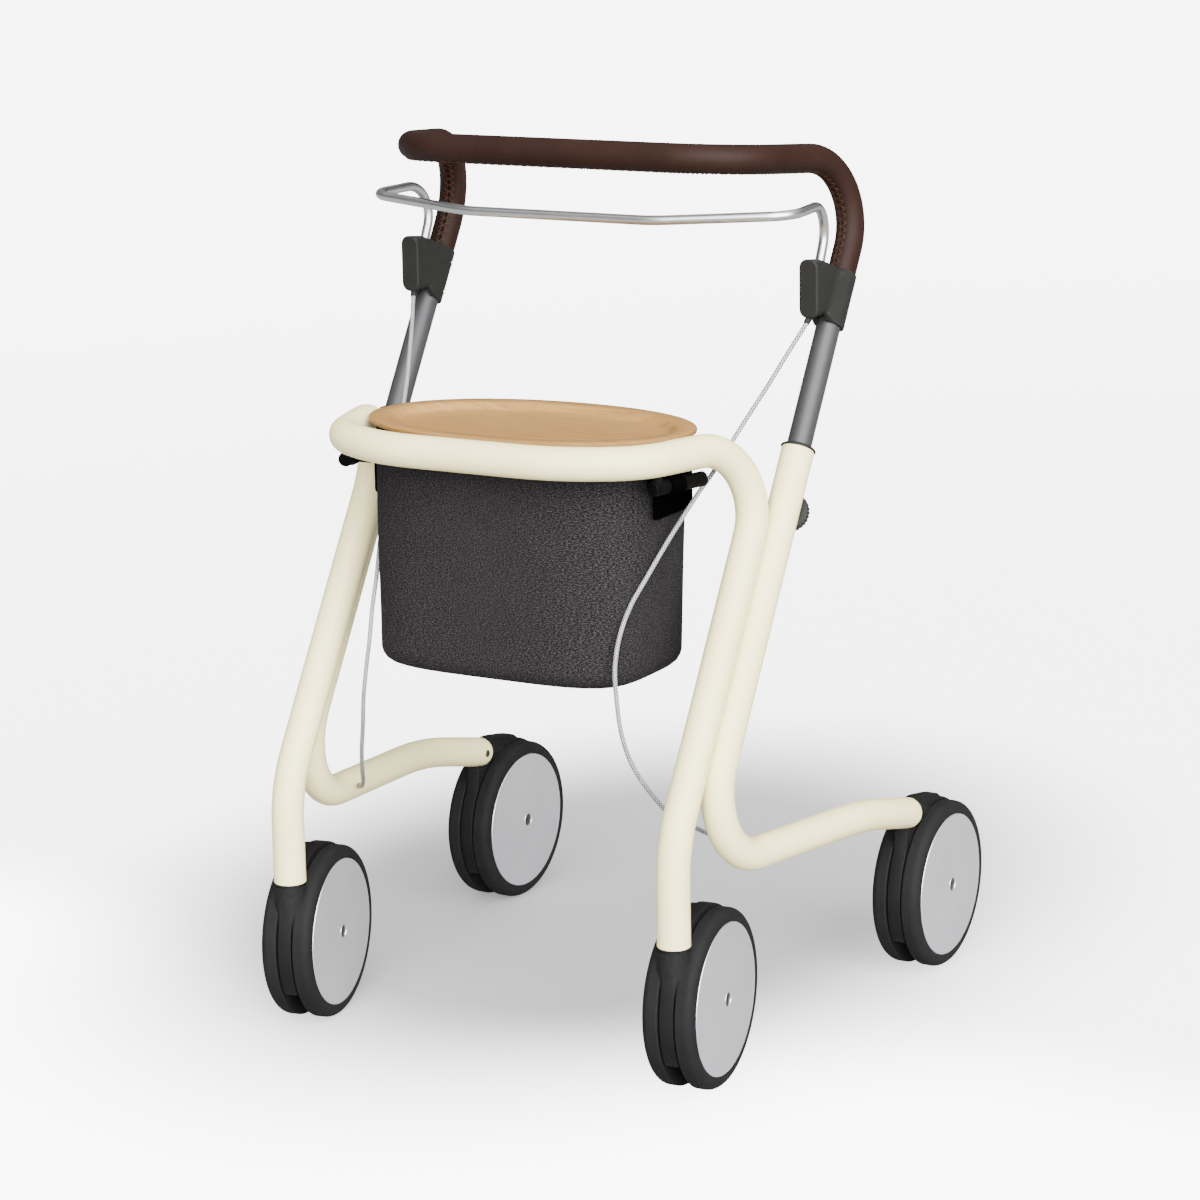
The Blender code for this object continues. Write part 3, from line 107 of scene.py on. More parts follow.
# Cables; the route is given point by point
CABLE_R = 0.0022
CABLE_ROUTE = (
    (0.2264, 0.0010, 0.7158), (0.2220, -0.0090, 0.7020), (0.2125, -0.0280, 0.6770),
    (0.2035, -0.0480, 0.6515), (0.1945, -0.0690, 0.6270), (0.1865, -0.0910, 0.6030),
    (0.1800, -0.1140, 0.5795), (0.1735, -0.1370, 0.5595), (0.1660, -0.1580, 0.5370),
    (0.1580, -0.1765, 0.5140), (0.1500, -0.1950, 0.4895), (0.1420, -0.2140, 0.4640),
    (0.1380, -0.2290, 0.4370), (0.1370, -0.2370, 0.4080), (0.1400, -0.2400, 0.3790),
    (0.1445, -0.2400, 0.3470), (0.1510, -0.2330, 0.3165), (0.1620, -0.2200, 0.2880),
    (0.1750, -0.2010, 0.2610), (0.1916, -0.1750, 0.2410), (0.2100, -0.1500, 0.2255),
    (0.2270, -0.1290, 0.2175), (0.2385, -0.1060, 0.2135), (0.2450, -0.0780, 0.2115),
    (0.2510, -0.0250, 0.2082), (0.2560, 0.0250, 0.2045), (0.2585, 0.0800, 0.1960),
    (0.2586, 0.1120, 0.1878),
)
ROUTE_STEP = 0.004
CABLE_HOLE_AT, CABLE_HOLE_R, CABLE_HOLE_L, CABLE_HOLE_OUT = 21, 0.0034, 0.018, 0.002
CABLE_EXIT_R, CABLE_EXIT_L, CABLE_EXIT_AT = 0.0038, 0.034, 0.013
FERRULE_AT, FERRULE_EDGE = 0.012, 0.0005
FERRULE = ((0.0023, 0.0), (0.0030, 0.0), (0.0033, 0.004), (0.0033, 0.010), (0.0023, 0.010))

# Wheels and their carriers
WHEEL_R, HALF_GAP, FACE, WHEEL_SIDES = 0.0875, 0.0088, 0.0263, 96
DISC_R, SHOULDER_R, TREAD_R = 0.0743, 0.0085, 0.0015
CUP_R, DISC_SEAT, WHEEL_BORE_R, WEB_R, HUB_R = 0.0073, FACE - 0.0034, 0.0062, 0.069, 0.020
DISC_LOW, DISC_RIM = FACE - 0.0031, FACE - 0.0003
CROWN = DISC_RIM + 0.0022
CUP_DEPTH, CUP_SCREW_DEPTH, LIP_EDGE, TYRE_EDGE = 0.0017, 0.0014, 0.0003, 0.0012
CUP_LIP = ((CUP_R - 0.0007, 0.0), (CUP_R - 0.0006, 0.0017), (CUP_R, 0.0022),
           (CUP_R + 0.0005, 0.0017), (CUP_R - 0.0001, 0.0))
COVER_SCREW = (CUP_R - 0.0009, 0.0028, 0.0003, 0.0008)
ROOM_R, ROOM_GAP, ROOM_END = WHEEL_R + 0.0008, HALF_GAP - 0.0007, 0.04
WHEEL_ROOM = ((0.0, ROOM_END), (ROOM_R, ROOM_END), (ROOM_R, ROOM_GAP + 0.0065),
              (ROOM_R - 0.0018, ROOM_GAP + 0.0022), (ROOM_R - 0.0060, ROOM_GAP), (0.0, ROOM_GAP))
TRAIL = 0.0642
REAR_AXLE_Y, REAR_WHEEL_X = 0.2098, 0.258
CASTER_TURN = {1: math.radians(5.5), -1: math.radians(11.2)}
PLATE_T, PLATE_EDGE = 0.0138, 0.0007
BAND_R, BAND_HUMP = 0.086, 0.0058
BAND_LOW, BAND_BACK = math.radians(-32), math.radians(150)
HUMP_AT, HUMP_SPREAD = math.radians(80), math.radians(40)
NECK_R, NECK_LOW_Z, NECK_TOP_Z, NECK_EDGE = 0.0159, 0.098, 0.157, 0.0010
NECK_GROOVE = ((NECK_R - 0.0018, 0.0), (NECK_R - 0.0008, 0.0), (NECK_R + 0.0001, -0.0008),
               (NECK_R + 0.004, -0.0008), (NECK_R + 0.004, 0.006), (NECK_R - 0.0018, 0.006))
GROOVE_Z, LEG_ROOM_R, LEG_ROOM_L = NECK_TOP_Z - 0.0028, TUBE_R + 0.0012, 0.032
LUG_OUTLINE = ((0.012, -0.010), (0.0, 0.0), (-0.012, 0.0128), (-0.044, 0.0090), (-0.064, 0.0050))
BOSS_R, LUG_BLEND = 0.016, 0.006
SEAT_R, SEAT_L = TUBE_R + 0.0004, 0.07
TAIL_CAP_R, TAIL_CAP_LOW_R, TAIL_CAP_L = TUBE_R - 0.0012, 0.0090, 0.042

# Bag, hangers and tray; a ring of the bag's base is (inset, rise)
BAG_TOP_W, BAG_LOW_W = 0.312, 0.285
BAG_TOP_Y, BAG_LOW_Y = (-0.247, -0.062), (-0.249, -0.070)
BAG_TOP_SQUARE, BAG_LOW_SQUARE = 2.6, 4.0
BAG_LOW_Z, BAG_TOP_Z, BAG_HEM, BAG_WALL, BAG_LIP = 0.3815, 0.6147, 0.016, 0.0025, 0.0006
BAG_BASE = ((0.030, 0.0000), (0.018, 0.0002), (0.012, 0.0010), (0.0072, 0.0032),
            (0.0034, 0.0066), (0.0012, 0.0108), (0.0002, 0.0150))
BAG_ROWS, BAG_INNER_ROWS, BAG_COUNT = 56, 24, 144
BAG_RIM_Z, LINING_INSET = BAG_TOP_Z + 0.0001, BAG_WALL * 0.6
BAG_MID_Y, BAG_WALL_H = (BAG_TOP_Y[0] + BAG_TOP_Y[1]) / 2, BAG_TOP_Z - BAG_LOW_Z - BAG_HEM
SLACK_LOW, SLACK_HIGH, SLACK, RIPPLE = BAG_LOW_Z + 0.01, BAG_TOP_Z - 0.02, 0.0011, 0.0003
SLACK_SCALE, RIPPLE_SCALE = Vector((13, 13, 9)), Vector((40, 40, 12))
CLOTH_GIRTH = 0.127       # mean distance from the bag's middle, for the cloth's UV map
HANGER_Y, HANGER_Z, HANGER_T = (-0.190, -0.115), (0.542, 0.586), 0.003
HANGER_CORNER, HANGER_EDGE, HANGER_BITE = 0.004, 0.0008, 0.0004
ARM_BACK, ARM_SIZE, ARM_EDGE = 0.040, (0.0144, 0.0115), 0.0012
RAIL_R, RAIL_END_Y, RAIL_L, RAIL_Z, RAIL_EDGE = 0.00725, -0.155, 0.068, 0.57925, 0.0016
POST_R, POST_H = RAIL_R * 0.75, 0.0102
GUIDE_WALL, GUIDE_L, GUIDE_PLAY, BORE_L = 0.0022, 0.018, 0.0003, 0.04
TRAY_W, TRAY_Y, TRAY_SQUARE, TRAY_COUNT = 0.342, (-0.257, -0.046), 2.1, 160
TRAY_Z, TRAY_T, TRAY_DEPTH = 0.615, 0.0045, 0.0075
TRAY_TOP = TRAY_Z + TRAY_T
EDGE_BAND_MIX, EDGE_BAND_REACH = 0.55, 0.985
TRAY_RINGS = (            # (inset, height) from the floor's underside round to its top
    (0.060, TRAY_Z - TRAY_DEPTH + 0.0018), (0.0275, TRAY_Z - TRAY_DEPTH + 0.0018),
    (0.0245, TRAY_Z - TRAY_DEPTH + 0.0028), (0.0205, TRAY_Z - 0.0006), (0.0185, TRAY_Z),
    (0.0010, TRAY_Z), (0.0002, TRAY_Z + 0.0006), (0.0, TRAY_Z + 0.0012),
    (0.0, TRAY_TOP - 0.0014), (0.0003, TRAY_TOP - 0.0006), (0.0011, TRAY_TOP),
    (0.0110, TRAY_TOP), (0.0185, TRAY_TOP - 0.0002), (0.0205, TRAY_TOP - 0.0012),
    (0.0235, TRAY_TOP - 0.0046), (0.0255, TRAY_TOP - TRAY_DEPTH + 0.0010),
    (0.0285, TRAY_TOP - TRAY_DEPTH), (0.060, TRAY_TOP - TRAY_DEPTH),
)

# Studio: a soft light is (direction it comes from, reach in degrees, strength)
FLOOR_REACH = 60.0
# The paper's painted glow: low under the object, where it leaves a painted shadow, brighter towards the
# front and far off
PAPER_CENTRE, PAPER_WIDEN = (-0.15, 0.256, 0.0), (1.4, 1.0, 1.0)
PAPER_NEAR, PAPER_FAR, PAPER_CORE, PAPER_GLOW = 0.37, 0.94, 0.28, 4.5
PAPER_FRONT, PAPER_FRONT_Y = 0.91, (0.117, -0.21)
PAPER_DISTANT, PAPER_DISTANCE, PAPER_MOST = 1.5, (1.0, 7.0), 10.0
BACKDROP_LEVEL, ROOM_LIGHT = 6.8, 0.26
SOFT_LIGHTS = (((0.75, -0.80, 0.50), 50.0, 17.0), ((0.1, 0.0, 1.0), 60.0, 1.3))
FULL_SHARE = 0.35         # of its reach, where a soft light has its full strength
CAMERA_PLACE, LENS, SENSOR = (1.684, -2.974, 1.224), 103.99, 36.0
AZIMUTH, ELEVATION, ROLL = math.radians(29.71), math.radians(13.41), math.radians(-0.96)

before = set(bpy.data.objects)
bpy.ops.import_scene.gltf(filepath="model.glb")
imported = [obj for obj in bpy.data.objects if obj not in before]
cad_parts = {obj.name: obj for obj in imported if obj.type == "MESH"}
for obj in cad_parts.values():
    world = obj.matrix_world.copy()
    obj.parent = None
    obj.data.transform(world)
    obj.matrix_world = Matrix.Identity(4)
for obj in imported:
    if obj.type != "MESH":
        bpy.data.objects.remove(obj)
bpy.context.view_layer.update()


# Shader helpers and shared effects

def add_node(tree, kind, inputs=None, **settings):
    """A shader node with its settings; an input is either a value or another node's output."""
    made = tree.nodes.new(kind)
    for key, value in settings.items():
        setattr(made, key, value)
    for key, value in (inputs or {}).items():
        if isinstance(value, bpy.types.NodeSocket):
            tree.links.new(value, made.inputs[key])
        else:
            made.inputs[key].default_value = value
    return made


def math_node(tree, operation, first, second=0.0):
    return add_node(tree, "ShaderNodeMath", {0: first, 1: second}, operation=operation).outputs[0]


def plus(tree, first, second):
    return math_node(tree, "ADD", first, second)


def times(tree, first, second):
    return math_node(tree, "MULTIPLY", first, second)


def scaled(tree, vector, amounts):
    return add_node(tree, "ShaderNodeMapping", {"Vector": vector, "Scale": amounts}).outputs[0]


def noise_value(tree, vector, scale, detail=2.0, roughness=0.5):
    inputs = {"Vector": vector, "Scale": scale, "Detail": detail, "Roughness": roughness}
    return add_node(tree, "ShaderNodeTexNoise", inputs).outputs["Fac"]


def ranged(tree, value, start, end, low=0.0, high=1.0, curve="LINEAR"):
    """Goes from low to high while the value goes from start to end."""
    inputs = {"Value": value, "From Min": start, "From Max": end, "To Min": low, "To Max": high}
    return add_node(tree, "ShaderNodeMapRange", inputs, interpolation_type=curve).outputs["Result"]


def new_effect(name, outputs, **values):
    """An empty node group that takes a vector and numbers, with its end sockets."""
    group = bpy.data.node_groups.new(name, "ShaderNodeTree")
    group.interface.new_socket("Vector", in_out="INPUT", socket_type="NodeSocketVector")
    for label, value in values.items():
        socket = group.interface.new_socket(label, in_out="INPUT", socket_type="NodeSocketFloat")
        socket.default_value = value
    for label in outputs:
        group.interface.new_socket(label, in_out="OUTPUT", socket_type="NodeSocketFloat")
    start = group.nodes.new("NodeGroupInput")
    end = group.nodes.new("NodeGroupOutput")
    return group, start.outputs, end.inputs


def mottle_effect():
    """Slow, cloudy variation between 0 and 1."""
    group, start, end = new_effect("mottle", ["Mask"], Scale=20.0)
    broad = noise_value(group, start["Vector"], start["Scale"], 4.0, 0.6)
    group.links.new(ranged(group, broad, 0.3, 0.7), end["Mask"])
    return group


def pebble_effect():
    """Fine moulded or skin-like grain as a height."""
    group, start, end = new_effect("pebble_grain", ["Height"], Scale=900.0)
    cells = add_node(group, "ShaderNodeTexVoronoi", {"Vector": start["Vector"],
                                                     "Scale": start["Scale"]},
                     feature="SMOOTH_F1")
    fine = noise_value(group, start["Vector"], start["Scale"], 3.0, 0.6)
    mixed = plus(group, cells.outputs["Distance"], fine)
    group.links.new(times(group, mixed, 0.5), end["Height"])
    return group


def cloth_effect():
    """A plain melange weave: threads as a height, and light fibres as a mask."""
    group, start, end = new_effect("melange_weave", ["Height", "Fibres"], Pitch=0.0011)
    vector = start["Vector"]
    parts = add_node(group, "ShaderNodeSeparateXYZ", {"Vector": vector}).outputs
    turns = math_node(group, "DIVIDE", 2 * math.pi, start["Pitch"])
    warp = math_node(group, "SINE", times(group, parts["X"], turns))
    weft = math_node(group, "SINE", times(group, parts["Y"], turns))
    crossing = times(group, warp, weft)
    slub = noise_value(group, scaled(group, vector, (1.0, 2.5, 1.0)), 700.0, 3.0, 0.7)
    group.links.new(plus(group, times(group, crossing, 0.35), slub), end["Height"])
    dashes = noise_value(group, scaled(group, vector, (0.6, 1.3, 1.0)), 760.0, 2.0, 0.8)
    specks = noise_value(group, scaled(group, vector, (1.3, 1.0, 1.0)), 1280.0, 1.0, 0.5)
    fibres = times(group, ranged(group, dashes, 0.46, 0.58), ranged(group, specks, 0.40, 0.56))
    group.links.new(fibres, end["Fibres"])
    return group


def braid_effect():
    """Two sets of strands wound round a cord; the vector runs along it and round it."""
    group, start, end = new_effect("braid", ["Height", "Gaps"], Pitch=0.0022)
    parts = add_node(group, "ShaderNodeSeparateXYZ", {"Vector": start["Vector"]}).outputs
    turns = math_node(group, "DIVIDE", 2 * math.pi, start["Pitch"])
    lanes = []
    for sign in (1.0, -1.0):
        slant = times(group, parts["Y"], sign)
        run = times(group, plus(group, parts["X"], slant), turns)
        lanes.append(math_node(group, "ABSOLUTE", math_node(group, "SINE", run)))
    height = math_node(group, "MAXIMUM", lanes[0], lanes[1])
    group.links.new(height, end["Height"])
    gaps = math_node(group, "SUBTRACT", 1.0, ranged(group, height, 0.72, 0.93))
    group.links.new(gaps, end["Gaps"])
    return group


def edge_wear_and_highlight_effect():
    """Where an edge is lighter, partly rubbed wear and partly a painted highlight: the piece's own edge
    attribute broken up by noise.
    """
    group, start, end = new_effect("rubbed_and_highlit_edge", ["Mask"], Edge=0.0, Amount=0.5)
    patches = ranged(group, noise_value(group, start["Vector"], 260.0, 3.0, 0.6), 0.3, 0.7)
    # The lighter edge is partly wear and partly a painted highlight
    rubbed = times(group, start["Edge"], plus(group, times(group, patches, 0.6), 0.4))
    group.links.new(times(group, rubbed, start["Amount"]), end["Mask"])
    return group


MOTTLE = mottle_effect()
PEBBLE = pebble_effect()
CLOTH = cloth_effect()
BRAID = braid_effect()
EDGE_WEAR_AND_HIGHLIGHT = edge_wear_and_highlight_effect()


def effect(tree, group, **inputs):
    return add_node(tree, "ShaderNodeGroup", inputs, node_tree=group).outputs


def cloudy(tree, place, scale):
    return effect(tree, MOTTLE, Vector=place, Scale=scale)["Mask"]


def own_uv(tree):
    return add_node(tree, "ShaderNodeUVMap", uv_map="UVMap").outputs["UV"]


def stored(tree, name):
    """A value that the piece keeps at its vertices."""
    return add_node(tree, "ShaderNodeAttribute", attribute_name=name).outputs["Fac"]


def mixed_color(tree, mask, first, second):
    mix = add_node(tree, "ShaderNodeMix", {"Factor": mask}, data_type="RGBA")
    for index, color in ((6, first), (7, second)):
        if isinstance(color, bpy.types.NodeSocket):
            tree.links.new(color, mix.inputs[index])
        else:
            mix.inputs[index].default_value = (*color, 1.0)
    return mix.outputs[2]


def worn_and_highlit_color(tree, place, base, rubbed, amount):
    """A colour that turns into the lighter one on the piece's edges: rubbed wear with a painted edge
    highlight.
    """
    worn = effect(tree, EDGE_WEAR_AND_HIGHLIGHT, Vector=place, Edge=stored(tree, "edge"), Amount=amount)["Mask"]
    return mixed_color(tree, worn, base, rubbed)


def start_material(name, roughness, metallic=0.0, shine=0.5):
    """A Principled material; returns it, its tree, its shader and the object's own coordinates."""
    mat = bpy.data.materials.new(name)
    mat.use_nodes = True
    tree = mat.node_tree
    shader = tree.nodes["Principled BSDF"]
    shader.inputs["Roughness"].default_value = roughness
    shader.inputs["Metallic"].default_value = metallic
    shader.inputs["Specular IOR Level"].default_value = shine
    place = tree.nodes.new("ShaderNodeTexCoord").outputs["Object"]
    return mat, tree, shader, place


def set_color(shader, color):
    shader.id_data.links.new(color, shader.inputs["Base Color"])


def set_roughness(shader, value, low, high):
    """The roughness follows a value between 0 and 1."""
    tree = shader.id_data
    tree.links.new(ranged(tree, value, 0.0, 1.0, low, high), shader.inputs["Roughness"])


def set_bump(shader, height, strength, distance):
    tree = shader.id_data
    inputs = {"Height": height, "Strength": strength, "Distance": distance}
    tree.links.new(add_node(tree, "ShaderNodeBump", inputs).outputs["Normal"],
                   shader.inputs["Normal"])


# Materials

def lacquer():
    """Satin cream lacquer with a faint orange peel."""
    mat, tree, shader, place = start_material("cream_satin_lacquer", 0.40, shine=0.3)
    cloud = cloudy(tree, place, 9.0)
    set_color(shader, mixed_color(tree, cloud, (0.80, 0.71, 0.355), (0.82, 0.735, 0.38)))
    set_roughness(shader, cloudy(tree, place, 60.0), 0.36, 0.46)
    set_bump(shader, noise_value(tree, place, 700.0, 1.0), 0.06, 0.0004)
    return mat


def metal(name, dark, light, roughness, metallic, lines=(6.0, 6.0, 6.0), shine=0.5):
    """Metal with fine drawn lines; lines scales the grain along each axis."""
    mat, tree, shader, place = start_material(name, roughness, metallic, shine)
    drawn = noise_value(tree, scaled(tree, place, lines), 60.0, 4.0, 0.7)
    mask = times(tree, plus(tree, drawn, cloudy(tree, place, 25.0)), 0.5)
    set_color(shader, mixed_color(tree, mask, dark, light))
    set_roughness(shader, drawn, roughness - 0.07, roughness + 0.09)
    set_bump(shader, drawn, 0.12, 0.0002)
    return mat


def leather():
    """Dark brown leather: fine pebble grain, a painted shade in the seam's groove, darker beside it, a
    soft sheen.
    """
    mat, tree, shader, place = start_material("dark_brown_leather", 0.58, shine=0.10)
    base = mixed_color(tree, cloudy(tree, place, 14.0), (0.0110, 0.0042, 0.0026),
                       (0.0158, 0.0066, 0.0044))
    beside = mixed_color(tree, stored(tree, "strip"), base, (0.0078, 0.0034, 0.0023))
    # Near black where the seam's groove is: painted shade
    set_color(shader, mixed_color(tree, stored(tree, "seam"), beside, (0.0016, 0.0009, 0.0008)))
    grain = effect(tree, PEBBLE, Vector=place, Scale=1100.0)["Height"]
    creases = noise_value(tree, place, 220.0, 5.0, 0.65)
    set_roughness(shader, creases, 0.50, 0.66)
    set_bump(shader, plus(tree, grain, times(tree, creases, 0.8)), 0.28, 0.0003)
    return mat


def thread():
    """Waxed thread with its twist."""
    mat, tree, shader, place = start_material("tan_waxed_thread", 0.65, shine=0.05)
    twist = noise_value(tree, place, 2200.0, 1.0)
    set_color(shader, mixed_color(tree, twist, (0.034, 0.0125, 0.0060), (0.062, 0.0240, 0.0120)))
    set_bump(shader, twist, 0.5, 0.0002)
    return mat


def moulded(name, dark, light, rubbed, roughness, edge_wear_and_highlight=0.6, shine=0.15):
    """Moulded plastic: fine spark grain, slow variation, lighter on its edges, partly rubbed wear and
    partly a painted highlight.
    """
    mat, tree, shader, place = start_material(name, roughness, shine=shine)
    cloud = cloudy(tree, place, 35.0)
    base = mixed_color(tree, cloud, dark, light)
    # The lighter edge colour is partly wear and partly a painted edge highlight
    set_color(shader, worn_and_highlit_color(tree, place, base, rubbed, edge_wear_and_highlight))
    set_roughness(shader, cloud, roughness - 0.05, roughness + 0.06)
    set_bump(shader, effect(tree, PEBBLE, Vector=place, Scale=1500.0)["Height"], 0.22, 0.0002)
    return mat


def disc_metal():
    """Aluminium covers, finely turned: rings round the centre, from the piece's own UV map."""
    mat, tree, shader, place = start_material("turned_aluminium_cover", 0.38, 0.85, 0.3)
    radius = add_node(tree, "ShaderNodeVectorMath", {0: own_uv(tree)}, operation="LENGTH")
    ring_place = add_node(tree, "ShaderNodeCombineXYZ", {"X": radius.outputs["Value"]}).outputs[0]
    rings = noise_value(tree, ring_place, 1600.0, 5.0, 0.8)
    mask = times(tree, plus(tree, rings, cloudy(tree, place, 18.0)), 0.5)
    set_color(shader, mixed_color(tree, mask, (0.56, 0.557, 0.584), (0.66, 0.657, 0.686)))
    set_roughness(shader, rings, 0.34, 0.46)
    set_bump(shader, rings, 0.10, 0.0002)
    return mat


def melange_cloth():
    """Anthracite melange cloth on the bag's own UV map, in metres round and up."""
    mat, tree, shader, place = start_material("anthracite_melange_cloth", 0.92, shine=0.1)
    weave = effect(tree, CLOTH, Vector=own_uv(tree), Pitch=0.0011)
    base = mixed_color(tree, cloudy(tree, place, 30.0), (0.0030, 0.0026, 0.0028),
                       (0.0046, 0.0041, 0.0044))
    set_color(shader, mixed_color(tree, weave["Fibres"], base, (0.045, 0.041, 0.045)))
    set_bump(shader, weave["Height"], 0.55, 0.0005)
    return mat


def tray_wood():
    """Light veneer: grain along the tray's length, darker pores, darker along the outer edge."""
    mat, tree, shader, place = start_material("light_oak_veneer", 0.50, shine=0.15)
    drift = noise_value(tree, scaled(tree, place, (0.25, 1.0, 0.3)), 22.0, 3.0, 0.5)
    bands = add_node(tree, "ShaderNodeTexWave", {"Vector": scaled(tree, place, (0.07, 1.0, 1.0)),
                                                 "Scale": 22.0, "Distortion": 5.0, "Detail": 3.0,
                                                 "Detail Scale": 2.2},
                     bands_direction="Y").outputs["Fac"]
    ground = mixed_color(tree, drift, (0.235, 0.122, 0.033), (0.29, 0.158, 0.048))
    figured = mixed_color(tree, times(tree, bands, 0.45), ground, (0.33, 0.187, 0.062))
    streaks = noise_value(tree, scaled(tree, place, (0.05, 1.0, 1.0)), 420.0, 3.0, 0.7)
    pores = ranged(tree, streaks, 0.52, 0.70)
    porous = mixed_color(tree, times(tree, pores, 0.55), figured, (0.120, 0.052, 0.014))
    # Darker along the tray's outer edge
    set_color(shader, mixed_color(tree, stored(tree, "edge_band"), porous, (0.16, 0.080, 0.022)))
    set_bump(shader, math_node(tree, "SUBTRACT", bands, pores), 0.12, 0.0003)
    return mat


def braided_sleeve():
    """Silver-white braid over a grey core, on the cable's own UV map."""
    mat, tree, shader, place = start_material("silver_braid", 0.45, 0.30, 0.3)
    braid = effect(tree, BRAID, Vector=own_uv(tree), Pitch=0.00628)
    strands = mixed_color(tree, cloudy(tree, place, 90.0), (0.33, 0.33, 0.335),
                          (0.44, 0.44, 0.445))
    set_color(shader, mixed_color(tree, braid["Gaps"], strands, (0.010, 0.010, 0.011)))
    set_bump(shader, braid["Height"], 0.9, 0.0006)
    return mat


def tyre_rubber():
    """Grey-black rubber with a dry bloom, a little lighter on its edges, partly rubbed wear and partly a
    painted highlight.
    """
    mat, tree, shader, place = start_material("grey_black_rubber", 0.72, shine=0.05)
    bloom = cloudy(tree, place, 45.0)
    base = mixed_color(tree, bloom, (0.0076, 0.0075, 0.0080), (0.0096, 0.0095, 0.0101))
    # The lighter edge colour is partly wear and partly a painted edge highlight
    set_color(shader, worn_and_highlit_color(tree, place, base, (0.026, 0.0258, 0.027), 0.35))
    set_roughness(shader, bloom, 0.60, 0.72)
    set_bump(shader, effect(tree, PEBBLE, Vector=place, Scale=1300.0)["Height"], 0.18, 0.0002)
    return mat


def studio_paper():
    """Pale paper with a painted glow, seen only by the camera, that grows away from the object and leaves
    a painted shadow under it.
    """
    mat, tree, shader, place = start_material("pale_paper", 0.95, shine=0.1)
    grain = noise_value(tree, place, 40.0, 2.0)
    set_color(shader, mixed_color(tree, grain, (0.275, 0.275, 0.279), (0.29, 0.29, 0.294)))
    centred = add_node(tree, "ShaderNodeVectorMath", {0: place, 1: PAPER_CENTRE},
                       operation="SUBTRACT").outputs["Vector"]
    far = add_node(tree, "ShaderNodeVectorMath", {0: scaled(tree, centred, PAPER_WIDEN)},
                   operation="LENGTH").outputs["Value"]
    ahead = add_node(tree, "ShaderNodeSeparateXYZ", {"Vector": place}).outputs["Y"]
    bright = ranged(tree, ahead, *PAPER_FRONT_Y, 1.0, 1.0 + PAPER_FRONT, "SMOOTHSTEP")
    ramp = ranged(tree, far, PAPER_NEAR, PAPER_FAR, 0.0, PAPER_GLOW, "SMOOTHSTEP")
    distant = ranged(tree, far, *PAPER_DISTANCE, PAPER_CORE, PAPER_CORE + PAPER_DISTANT,
                     "SMOOTHSTEP")
    total = plus(tree, times(tree, ramp, bright), distant)
    # Only the camera sees the painted glow
    seen = add_node(tree, "ShaderNodeLightPath").outputs["Is Camera Ray"]
    glow = times(tree, times(tree, total, 1.0 / PAPER_MOST), seen)
    tree.links.new(mixed_color(tree, glow, (0.0, 0.0, 0.0), (1.0, 1.0, 1.0)),
                   shader.inputs["Emission Color"])
    shader.inputs["Emission Strength"].default_value = PAPER_MOST
    return mat


CREAM = lacquer()
STEM_METAL = metal("grey_anodised_stem", (0.0225, 0.0225, 0.0245), (0.0295, 0.0295, 0.032),
                   0.52, 0.15, (9.0, 4.0, 1.0))
SATIN = metal("satin_drawn_steel", (0.50, 0.50, 0.51), (0.58, 0.58, 0.59), 0.30, 1.0,
              (1.0, 9.0, 9.0))
SCREW_METAL = metal("bright_screw_steel", (0.42, 0.42, 0.43), (0.58, 0.58, 0.59), 0.28, 1.0)
POLISHED = metal("polished_ring_steel", (0.78, 0.78, 0.79), (0.88, 0.88, 0.89), 0.34, 1.0)
DARK_SCREW = metal("blackened_screw_steel", (0.020, 0.020, 0.021), (0.042, 0.042, 0.044),
                   0.52, 0.2, shine=0.1)
HIDE = leather()
THREAD = thread()
# Each moulding's third colour lights its edges: partly wear, partly a painted highlight
OLIVE = moulded("dark_olive_mouldings", (0.0080, 0.0080, 0.0071), (0.0098, 0.0098, 0.0088),
                (0.023, 0.023, 0.021), 0.60)
SOOT = moulded("black_bag_fittings", (0.0012, 0.0011, 0.0011), (0.0020, 0.0019, 0.0019),
               (0.0045, 0.0044, 0.0044), 0.55, shine=0.03)
JET = moulded("jet_black_plate", (0.0004, 0.0004, 0.0004), (0.0008, 0.0008, 0.0008),
              (0.0018, 0.0018, 0.0018), 0.70, edge_wear_and_highlight=0.3, shine=0.0)
CARRIER = moulded("carrier_mouldings", (0.0040, 0.0038, 0.0039), (0.0054, 0.0051, 0.0052),
                  (0.013, 0.0125, 0.0125), 0.66, shine=0.08)
HIDDEN = moulded("hidden_black_plastic", (0.0030, 0.0030, 0.0030), (0.0050, 0.0050, 0.0050),
                 (0.012, 0.012, 0.012), 0.60)
COVER = disc_metal()
MELANGE = melange_cloth()
WOOD = tray_wood()
SLEEVE = braided_sleeve()
RUBBER = tyre_rubber()


# Making pieces

def linked(name, data):
    obj = bpy.data.objects.new(name, data)
    bpy.context.scene.collection.objects.link(obj)
    return obj


def mesh_object(name, bm):
    data = bpy.data.meshes.new(name)
    bm.to_mesh(data)
    bm.free()
    return linked(name, data)


def store(obj, name, values):
    """Keeps one number at each vertex, for the materials."""
    attribute = obj.data.attributes.new(name, "FLOAT", "POINT")
    attribute.data.foreach_set("value", values)


def mark_edges(obj, full):
    """Keeps how strongly the surface bends at each vertex, for worn edges and their painted highlight."""
    bm = bmesh.new()
    bm.from_mesh(obj.data)
    values = []
    for vert in bm.verts:
        bend = max((e.calc_face_angle(0.0) for e in vert.link_edges if len(e.link_faces) == 2),
                   default=0.0)
        values.append(min(1.0, bend / full) ** 2)
    bm.free()
    store(obj, "edge", values)


